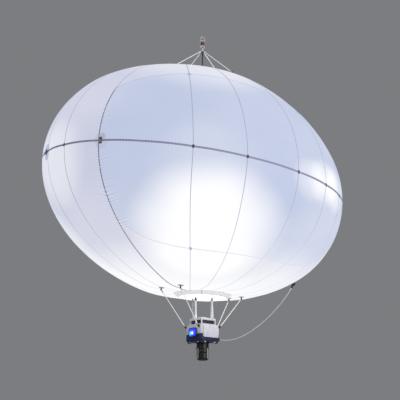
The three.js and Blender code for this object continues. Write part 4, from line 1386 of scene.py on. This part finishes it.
def make_housing_screws():
    pieces = []
    for quarter, x, z in product(PLAIN_SIDES, (-0.150, 0.150), (-5.108, -5.198)):
        pieces.append(spin(screw((x, -HALF_BOX - 0.0024, z)), 90 * quarter))
    for x, z in product((-0.147, 0, 0.147), (COVER_Z - 0.085, COVER_Z + 0.085)):
        pieces.append(screw((x, -HALF_BOX - LIP - 0.0125, z)))
    return on_box(joined(pieces))


def make_base():
    side = BOX_SIDE + 2 * LIP
    lip = 0.014
    tray = chamfered_block(side, BASE_BOTTOM + lip, BASE_TOP, CHAMFER, 0.0025)
    sole = chamfered_block(side - 2 * lip, BASE_BOTTOM, BASE_BOTTOM + lip + 0.004, CHAMFER - 0.006, 0.002)
    rim = chamfered_block(side + 0.003, BASE_TOP - 0.016, BASE_TOP - 0.004, CHAMFER + 0.001, 0.002)
    return on_box(joined([tray, sole, rim]))


def make_feet():
    foot = turned([(0, 0.004), (0.028, 0.004), (0.0275, -0.006), (0.0245, -0.018), (0.0225, -0.022),
                   (0.010, -0.022), (0.008, -0.018), (0, -0.018)], 28)
    reach = 0.158
    return on_box(joined(copies_at(foot, product((-reach, reach), (-reach, reach), (BASE_BOTTOM,)))))


def make_base_brackets():
    """Bright folded clips under the base's edges, two to a side."""
    pieces = []
    for x in (-0.105, 0.105):
        pieces += [block((0.046, 0.030, 0.0035), (x, -0.180, BASE_BOTTOM - 0.0019), rounding=0.001),
                   block((0.030, 0.0035, 0.016), (x, -0.1945, BASE_BOTTOM - 0.0085), rounding=0.001),
                   aim(stud(0.006, 0.004, 0.0045), (x, -0.178, BASE_BOTTOM - 0.0034), (0, 0, -1))]
    return on_box(joined(copies_about(joined(pieces), 4)))


def make_cover():
    """The blank raised cover, with faint pressed lines across it."""
    pieces = [side_plate(0.326, 0.196, 0.024, 0.012, (0, COVER_FACE - 0.006, COVER_Z), 0.0025)]
    for row in range(5):
        z = COVER_Z + 0.064 - 0.032 * row
        pieces.append(side_plate(0.280, 0.005, 0.002, 0.0012, (0, COVER_FACE - 0.0124, z), 0.0005))
    return on_box(joined(pieces))


def make_cover_gasket():
    return on_box(side_plate(0.318, 0.188, 0.021, 0.006, (0, -HALF_BOX - LIP - 0.001, COVER_Z)))


def make_bezel():
    """The lamp's frame, with a raised rim and a screw in each corner."""
    front = (0, COVER_FACE - 0.0246, 0)
    bezel = side_plate(0.196, 0.154, 0.042, 0.024, (0, COVER_FACE - 0.012, 0), 0.004)
    carve(bezel, side_plate(0.1675, 0.1275, 0.0305, 0.030, (0, COVER_FACE - 0.026, 0)))
    rim = side_plate(0.180, 0.140, 0.036, 0.0026, front, 0.001)
    carve(rim, side_plate(0.168, 0.128, 0.0305, 0.010, front))
    screws = [screw((x, COVER_FACE - 0.0236, z), 0.0035)
              for x, z in product((-0.07812, 0.07812), (-0.05859, 0.05859))]
    return on_box(place(joined([bezel, rim] + screws), LAMP_AT), 3)


def make_lens():
    """A lens that swells outward in four steps."""
    lens = side_plate(0.166, 0.126, 0.0295, 0.008, (0, COVER_FACE - 0.0145, 0))
    pick(lens, lambda centre, normal: normal.y < -0.99)
    for step in range(4):
        bpy.ops.mesh.extrude_region_move(TRANSFORM_OT_translate={"value": (0, -0.0018 + 0.0004 * step, 0)})
        bpy.ops.transform.resize(value=(0.86, 1, 0.82), center_override=(0, COVER_FACE, 0))
    done()
    return on_box(place(lens, LAMP_AT), 3)


def make_rail_frame():
    bottom = HOUSING_TOP + 0.0003
    tall = RAIL_TOP - bottom
    rails = block((RAIL_SIDE, RAIL_SIDE, tall), (0, 0, bottom + tall / 2), rounding=0.005)
    inner = RAIL_SIDE - 2 * RAIL_BAR
    carve(rails, block((inner, inner, 2 * tall), (0, 0, bottom)))
    window_z = bottom + 0.018 + WINDOW_HEIGHT / 2
    carve(rails, side_plate(LONG_WINDOW, WINDOW_HEIGHT, 0.008, 0.5, (0, 0, window_z)))
    for offset in (-WINDOW_OFFSET, WINDOW_OFFSET):
        through = side_plate(WINDOW_WIDTH, WINDOW_HEIGHT, 0.008, 0.5, (offset, 0, window_z))
        carve(rails, spin(through, 90))
    return on_box(bevel(rails, 0.0015))


def make_rail_feet():
    """Angle feet and bolts that fix the rails to the roof."""
    pieces = []
    for x in (-0.146, 0.0, 0.146):
        pieces += [block((0.026, 0.026, 0.004), (x, -0.166, HOUSING_TOP + 0.0022), rounding=0.001),
                   place(stud(0.0065, 0.005, 0.0056), (x, -0.168, HOUSING_TOP + 0.004))]
    return on_box(joined(copies_about(joined(pieces), 4)))


def make_dome():
    """The domed roof with a drip bead and radial pressings."""
    low = HOUSING_TOP + 0.0003
    dome = turned([
        (0, low - DOME_TOP), (0.120, low - DOME_TOP), (0.120, -0.066), (0.128, -0.064), (0.1285, -0.056),
        (0.1225, -0.049), (0.1195, -0.041), (0.106, -0.028), (0.084, -0.0165), (0.062, -0.0095),
        (0.040, -0.0045), (0.020, -0.0015), (0, 0)], 56, base=DOME_TOP)
    side = RAIL_SIDE - 2 * RAIL_BAR - 0.006
    eaves = DOME_TOP - 0.064
    core = block((side, side, eaves - low), (0, 0, (eaves + low) / 2), rounding=0.002)
    rib = place(block((0.046, 0.008, 0.004), rounding=0.0015), (0.066, 0, DOME_TOP - 0.0105), (0, 17, 0))
    return on_box(joined([dome, core] + copies_about(rib, 8)))


dress(make_housing(), "housing_folded", BOX_WHITE, "box_white", "housing")
dress(make_housing_screws(), "housing_screws", STEEL, "guy_steel")
dress(make_base(), "base_tray", BOX_NAVY, "box_navy", "base")
dress(make_feet(), "base_feet", BLACK, "fitting_black")
dress(make_base_brackets(), "base_brackets", STEEL, "guy_steel")
dress(make_cover(), "cover_blank", BOX_WHITE, "box_white", "side_cover")
dress(make_cover_gasket(), "cover_gasket", BLACK, "fitting_black")
dress(make_bezel(), "bezel_moulded", BEZEL_BLUE, "box_navy", "lamp_bezel")
dress(make_lens(), "lens_domed", LAMP_BLUE, "lamp_blue", "lamp_lens")
dress(make_rail_frame(), "rails_welded", BOX_WHITE, "box_white", "rail_frame")
dress(make_rail_feet(), "rail_feet", STEEL, "guy_steel")
dome = dress(make_dome(), "dome_pressed", BOX_WHITE, "box_white", "roof_dome")
paint(dome, BLACK, lambda centre, normal: centre.z < DOME_TOP - 0.063)


# Posts between the rails and the mouth panel

POST_LINE = (RAIL_SIDE - RAIL_BAR) / 2
POSTS = [(-POST_LINE, 0.010), (0.084, -POST_LINE), (POST_LINE, -0.070), (-0.096, POST_LINE)]
CONE_POSTS = (2, 3)
SLIM_POST = 4


def make_post(cone, slim):
    """A post with its foot at z = 0: a tall cone, slim, or straight with a flared foot."""
    length = PANEL_BOTTOM - RAIL_TOP - 0.0006
    shaft = [(0.0265, 0.030), (0.0215, 0.046), (0.0180, 0.070), (0.0165, length - 0.060)]
    if cone:
        shaft = [(0.0265, 0.030), (0.0122, length - 0.040)]
    if slim:
        shaft = [(0.0200, 0.020), (0.0120, 0.034), (0.0105, 0.060), (0.0105, length - 0.050)]
    return turned([(0, 0), (0.0200, 0), (0.0215, 0.003), (0.0205, 0.008)] + shaft + [(0, length - 0.035)], 28)


def make_post_head():
    """The dark ball joint and its cap at the top of a post, with the panel's eyelet plate at z = 0."""
    cap = turned([(0, -0.062), (0.0190, -0.062), (0.0200, -0.058), (0.0200, -0.044), (0.0120, -0.038),
                  (0.0075, -0.032), (0, -0.032)], 28)
    joint = ball(0.0135, (0, 0, -0.0245), 20, 12)
    plate = turned([(0, -0.0125), (0.0100, -0.0125), (0.0130, -0.0070), (0.0240, -0.0035), (0.0260, -0.0015),
                    (0.0260, 0), (0, 0)], 32)
    return joined([cap, joint, plate])


for number, (x, y) in enumerate(POSTS, 1):
    slim = number == SLIM_POST
    post = place(make_post(number in CONE_POSTS, slim), (x, y, RAIL_TOP + 0.0003))
    tone = POST_GREY if slim else POST_WHITE
    dress(on_box(post), "post_%d_tube" % number, tone, "box_white", "post_%d" % number)
    head = on_box(place(make_post_head(), (x, y, PANEL_BOTTOM - 0.0003)))
    dress(head, "post_%d_joint" % number, BLACK if number == 1 else CLIP_GREY, "fitting_black")
    paint(head, PANEL_CLOTH, lambda centre, normal: centre.z > PANEL_BOTTOM - 0.0128)


# Stay feet on the box

# Which way each foot faces, in degrees from +X
FOOT_HEADINGS = {"front_left": BOX_TURN + 180, "back_left": BOX_TURN + 135, "front_right": BOX_TURN - 45,
                 "back_right": BOX_TURN}
KNOB_REACH, KNOB_RISE = 0.026, 0.006


def level_direction(turn):
    """The level direction at an angle from +X, in degrees."""
    return Vector((math.cos(math.radians(turn)), math.sin(math.radians(turn)), 0))


def make_stay_foot():
    """A bolted block with the ball that a stay is spliced to, facing -Y from the plane y = 0."""
    foot = block((0.032, 0.0155, 0.044), (0, -0.0080, 0), rounding=0.0025)
    stem = turned([(0, 0), (0.0105, 0), (0.0085, 0.006), (0.0070, 0.014), (0, 0.014)], 20)
    aim(stem, (0, -0.0150, KNOB_RISE), (0, -1, 0))
    pieces = [foot, stem, ball(KNOB_RADIUS, (0, -KNOB_REACH, KNOB_RISE), 24, 14)]
    for x, z in ((0.0105, -0.015), (-0.0105, 0.017)):
        pieces.append(aim(stud(0.0052, 0.0032, 0.0038), (x, -0.0152, z), (0, -1, 0)))
    return joined(pieces)


for corner, turn in FOOT_HEADINGS.items():
    low, high = line_ends("stay_" + corner)
    knob = low - (high - low).normalized() * KNOB_CLEAR
    middle = knob - level_direction(turn) * KNOB_REACH - Vector((0, 0, KNOB_RISE))
    foot = place(make_stay_foot(), middle, (0, 0, turn + 90))
    dress(foot, "stay_foot_%s_cast" % corner, BLACK, "fitting_black", "stay_foot_" + corner)


# Blower under the box

NECK_TOP = BASE_BOTTOM - 0.0003
CLAMP_TOP, CASING_TOP, MOTOR_TOP, MOTOR_BOTTOM = -5.448, -5.464, -5.562, -5.653
DUCT_RADIUS, DUCT_INNER = 0.100, 0.090
STRIP_AZIMUTHS = (50, 130, 230, 310)
RING_HEIGHT = 0.016


def rib_profile(radius, out, foot, rises):
    """A rib round a turned piece: its foot's radius and height, how far it stands out and its rises."""
    first, second, last = rises
    top = radius + out
    return [(radius, foot), (top, foot + first), (top, foot + second), (radius, foot + last)]


def make_neck():
    """A moulded duct with a flange under the box and ribs round it."""
    low = CLAMP_TOP + 0.0003
    profile = [(DUCT_INNER, low), (DUCT_RADIUS, low), (DUCT_RADIUS, low + 0.010)]
    for rib in range(3):
        profile += rib_profile(DUCT_RADIUS, 0.003, low + 0.018 + 0.020 * rib, (0.002, 0.007, 0.009))
    profile += [(DUCT_RADIUS, NECK_TOP - 0.016), (DUCT_RADIUS + 0.006, NECK_TOP - 0.010),
                (DUCT_RADIUS + 0.013, NECK_TOP - 0.009), (DUCT_RADIUS + 0.014, NECK_TOP - 0.007),
                (DUCT_RADIUS + 0.014, NECK_TOP), (DUCT_INNER, NECK_TOP)]
    bolts = [aim(stud(0.0055, 0.004, 0.0046), point, (0, 0, -1))
             for point in circle_points(0.1085, 8, NECK_TOP - 0.0095, 22.5)]
    return joined([turned(profile, 64, closed=True)] + bolts)


def make_clamp():
    """The clamp band round the joint, with a bead at either edge."""
    low = CASING_TOP + 0.0003
    return turned([
        (DUCT_INNER, low), (0.1070, low), (0.1080, low + 0.0015), (0.1062, low + 0.004),
        (0.1062, CLAMP_TOP - 0.004), (0.1080, CLAMP_TOP - 0.0015), (0.1070, CLAMP_TOP),
        (DUCT_INNER, CLAMP_TOP)], 64, closed=True)


def make_clip():
    """One over-centre clip at the +X side."""
    z = (CLAMP_TOP + CASING_TOP) / 2
    pieces = [block((0.016, 0.034, 0.022), (0.1125, 0, z), rounding=0.002),
              block((0.006, 0.026, 0.020), (0.1265, 0, z - 0.001), rounding=0.002),
              rod(0.0035, (0.1225, -0.018, z + 0.006), (0.1225, 0.018, z + 0.006), 14, 0.0006)]
    for y in (-0.014, 0.014):
        pieces.append(rod(0.0016, (0.1225, y, z + 0.006), (0.108, y, z + 0.0095), 10))
    return joined(pieces)


def make_strips():
    """Flat guard strips from the clamp band down to the motor, each with two rivets."""
    top = (CLAMP_TOP + CASING_TOP) / 2
    low = MOTOR_BOTTOM + 0.026
    rivet = [(0, 0), (0.004, 0), (0.003, 0.0016), (0, 0.0022)]
    pieces = []
    for azimuth in STRIP_AZIMUTHS:
        strip = side_plate(0.032, top - low, 0.004, 0.0055, (0, -0.1062, (top + low) / 2), 0.001)
        rivets = [aim(turned(rivet, 14), (0, -0.1088, z), (0, -1, 0)) for z in (top - 0.008, low + 0.010)]
        pieces.append(spin(joined([strip] + rivets), azimuth))
    return joined(pieces)


def make_casing():
    """The slotted intake: a ring above, a ring below and sixteen bars between them."""
    low = MOTOR_TOP + 0.0003
    rings = []
    for bottom in (0, CASING_TOP - RING_HEIGHT - low):
        top = bottom + RING_HEIGHT
        rings.append(turned([
            (DUCT_INNER, bottom), (DUCT_RADIUS - 0.001, bottom), (DUCT_RADIUS, bottom + 0.001),
            (DUCT_RADIUS, top - 0.001), (DUCT_RADIUS - 0.001, top), (DUCT_INNER, top)], 64,
            closed=True, base=low))
    tall = CASING_TOP - low
    bar = block((0.0185, 0.0095, tall - 0.020), (0, -0.0950, (CASING_TOP + low) / 2), rounding=0.0018)
    bars = copies_about(bar, 16)
    mesh_rings = []
    for step in range(1, 4):
        z = low + RING_HEIGHT + step * (tall - 2 * RING_HEIGHT) / 4
        mesh_rings.append(ring(0.0915, 0.0013, (0, 0, z), around=64, across=6))
    return joined(rings + bars + mesh_rings)


def make_motor():
    """The motor housing, finned low down, with its rounded bottom and its shaft."""
    profile = [(0, 0), (0.058, 0), (0.066, 0.001), (0.080, 0.0065), (0.088, 0.0135), (0.0935, 0.0225),
               (0.0965, 0.033), (0.0975, 0.044)]
    for rib in range(3):
        profile += rib_profile(0.0975, 0.0023, 0.050 + 0.0115 * rib, (0.0015, 0.0060, 0.0075))
    top = MOTOR_TOP - MOTOR_BOTTOM
    profile += [(0.1000, top - 0.004), (0.0990, top), (0.0400, top), (0.0380, top + 0.004),
                (0.0140, top + 0.006), (0.0100, top + 0.007), (0.0100, top + 0.062), (0, top + 0.062)]
    bolts = [aim(stud(0.005, 0.003, 0.0036), point, (0, 0, -1))
             for point in circle_points(0.046, 4, MOTOR_BOTTOM + 0.0003, 45)]
    cap = turned([(0, -0.0022), (0.026, -0.0022), (0.030, 0.0004), (0, 0.0004)], 40, base=MOTOR_BOTTOM)
    return joined([turned(profile, 64, base=MOTOR_BOTTOM)] + bolts + [cap])


ROTOR_BOTTOM = MOTOR_TOP + 0.008
BLADES, BLADE_ROOT, BLADE_LENGTH = 11, 0.025, 0.056


def make_rotor():
    """A centrifugal rotor: a back plate, a hub over the shaft and eleven curved blades."""
    hub = 0.062
    disc = turned([
        (0.0105, 0), (0.0815, 0), (0.0820, 0.0030), (0.0812, 0.0042), (0.034, 0.0062), (0.0270, 0.010),
        (0.0258, hub - 0.008), (0.0215, hub - 0.0015), (0.012, hub), (0.0105, hub)], 56,
        closed=True, base=ROTOR_BOTTOM)
    cap = turned([(0, hub - 0.0012), (0.0104, hub - 0.0012), (0.0104, hub - 0.0002), (0, hub + 0.0004)], 24,
                 base=ROTOR_BOTTOM)
    blade = block((BLADE_LENGTH, 0.0026, 0.051), (0.053, 0, ROTOR_BOTTOM + 0.0285))
    edit(blade)
    bpy.ops.mesh.subdivide(number_cuts=9)
    done()
    at = vertices_of(blade)
    out = at[:, 0] - BLADE_ROOT
    reach = out / BLADE_LENGTH
    high = np.clip((at[:, 2] - ROTOR_BOTTOM) / 0.055, 0, 1)
    at[:, 1] += 0.010 * np.sin(math.pi * np.clip(reach, 0, 1)) - 0.004 * reach
    at[:, 0] = BLADE_ROOT + out * (1 - 0.10 * high * reach)
    return joined([disc, cap] + copies_about(move_vertices(blade, at), BLADES))


dress(make_neck(), "neck_ribbed", BLOWER_BLACK, "blower_black", "blower_neck")
dress(make_clamp(), "clamp_band", BLOWER_BLACK, "blower_black", "clamp_ring")
dress(joined(copies_about(make_clip(), 2)), "clamp_clips", CLIP_GREY, "guy_steel")
dress(make_strips(), "guard_strips", STRIP_BEIGE, "guy_steel")
dress(make_casing(), "casing_slotted", BLOWER_BLACK, "blower_black", "intake_casing")
dress(make_motor(), "motor_finned", BLOWER_BLACK, "blower_black", "blower_motor")
dress(make_rotor(), "rotor_bladed", ROTOR_GREY, "rotor_grey", "fan_rotor", body="fan")


# Cable gland on the box and inlet on the fabric

def make_gland():
    """A hexagon nut, a ribbed boot and their washer, along +Z from the box's side at z = 0."""
    length = (CABLE_START - GLAND_SEAT).length - 0.0006
    profile = [(0, 0.0145), (0.0150, 0.0145), (0.0150, 0.0180)]
    count = 5
    for rib in range(count):
        foot = 0.019 + rib * (length - 0.024) / count
        wide = 0.0150 - 0.0035 * rib / count
        profile += rib_profile(wide - 0.0022, 0.0022, foot, (0.0015, 0.0050, 0.0065))
    profile += [(0.0108, length - 0.002), (0.0100, length), (0, length)]
    washer = turned([(0, 0), (0.0225, 0), (0.0225, 0.0022), (0, 0.0022)], 36)
    nut = turned([(0, 0.0020), (0.0178, 0.0020), (0.0190, 0.0035), (0.0190, 0.0135), (0.0175, 0.0160),
                  (0, 0.0160)], 6)
    return joined([turned(profile, 28), washer, nut])


CABLE_SIDE = level_direction(BOX_TURN)
CABLE_START = Vector(CABLE_ROUTE[0])
GLAND_SEAT = CABLE_START - CABLE_SIDE * (CABLE_START.dot(CABLE_SIDE) + COVER_FACE)
gland = aim(make_gland(), GLAND_SEAT, CABLE_SIDE)
dress(gland, "gland_ribbed", BLACK, "fitting_black", "cable_gland")


def make_inlet():
    """A riveted flange on the fabric, a domed body and the boot that takes the cable in."""
    end, before = Vector(CABLE_ROUTE[-1]), Vector(CABLE_ROUTE[-2])
    travel = (end - before).normalized()
    core = end + travel * 0.095
    azimuth, latitude = nearest_on_skin(core)
    flange = turned([
        (0, 0.0008), (0.068, 0.0008), (0.070, 0.0025), (0.0695, 0.0062), (0.0670, 0.0085), (0.048, 0.0092),
        (0.040, 0.0125), (0.036, 0.0180), (0.034, 0.030), (0.034, 0.052), (0.0315, 0.060), (0.024, 0.0665),
        (0.012, 0.0695), (0, 0.070)], 48)
    rivet = turned([(0, 0), (0.0045, 0), (0.0036, 0.0018), (0, 0.0028)], 12)
    rivets = copies_at(rivet, circle_points(0.058, 10, 0.0085))
    body = lay(joined([flange] + rivets), azimuth, latitude)
    profile = [(0, 0.0003), (0.0105, 0.0003), (0.0115, 0.003)]
    for rib in range(6):
        wide = 0.0111 + 0.0012 * rib
        profile += rib_profile(wide, 0.0022, 0.006 + 0.0125 * rib, (0.002, 0.007, 0.009))
    profile += [(0.0198, 0.084), (0.0198, 0.100), (0, 0.100)]
    boot = aim(turned(profile, 28), end, travel)
    return joined([body, boot]), wrap(doubler_round(0.110, 0.0016), azimuth, latitude)


inlet, inlet_doubler = make_inlet()
dress(inlet, "inlet_moulded", BLACK, "fitting_black", "cable_inlet")
dress(inlet_doubler, "inlet_doubler", DOUBLER_CLOTH, "lit_fabric", angle=CLOTH_ANGLE)


# Sewn patches on the fabric

PATCH_RADIUS = 0.10
# Name, azimuth and latitude in degrees, half of the width and of the height in metres
KNOT_PATCHES = (
    ("knot_patch_strong", -32.4, 1.6, 0.050, 0.060), ("knot_patch_left", -67.3, 1.5, 0.020, 0.075),
    ("knot_patch_arc", -5.0, 42.7, 0.034, 0.044), ("knot_patch_low", -3.6, -46.3, 0.024, 0.030))

for name, azimuth, latitude, wide, high in KNOT_PATCHES:
    patch = turned([
        (0, 0.0002), (PATCH_RADIUS / 2, 0.0002), (PATCH_RADIUS, 0.0002), (PATCH_RADIUS - 0.003, 0.004),
        (PATCH_RADIUS / 2, 0.004), (0, 0.004)], 48)
    place(patch, size=(wide / PATCH_RADIUS, high / PATCH_RADIUS, 1))
    dress(wrap(patch, azimuth, latitude), name, SOFT_PATCH, "lit_fabric", angle=CLOTH_ANGLE)

for material_slot in frame["nodes"]["lamp_unit"].material_slots:
    material_slot.material = LAMP_BLOCK


# Studio: a plain pale floor and soft light

FLOOR_SIZE, FLOOR_Z = 120, -7.6
LIGHT_TARGET = (0, 0, -3.4)


def make_floor():
    """A floor that shows from above and is clear from below."""
    deselect()
    bpy.ops.mesh.primitive_plane_add(size=FLOOR_SIZE, location=(0, 0, FLOOR_Z))
    floor = bpy.context.object
    floor.name = "studio_floor"
    finish = Finish("studio_floor", (0.55, 0.55, 0.56), 0.9)
    clear = put(finish.tree, "BsdfTransparent").outputs[0]
    back = put(finish.tree, "NewGeometry").outputs["Backfacing"]
    mix = put(finish.tree, "MixShader", {0: back, 1: finish.shader.outputs[0], 2: clear})
    finish.tree.links.new(mix.outputs[0], finish.tree.nodes["Material Output"].inputs["Surface"])
    floor.data.materials.append(finish.material)


def soft_light(name, at, size, power):
    bpy.ops.object.light_add(type="AREA", location=at)
    light = bpy.context.object
    light.name = name
    light.data.shape = "DISK"
    light.data.size = size
    light.data.energy = power
    light.rotation_euler = (Vector(LIGHT_TARGET) - Vector(at)).to_track_quat("-Z", "Y").to_euler()
    light.visible_camera = False


SKY_COLOUR = (0.20, 0.205, 0.215, 1)

make_floor()
soft_light("key", (11, -12, -1), 7, 1300)
soft_light("fill", (-10, -12, 1), 8, 260)
soft_light("rim", (4, 14, 4), 8, 120)
world = bpy.data.worlds.new("studio")
bpy.context.scene.world = world
world.use_nodes = True
world.node_tree.nodes["Background"].inputs["Color"].default_value = SKY_COLOUR
bpy.context.scene.view_settings.view_transform = "Standard"
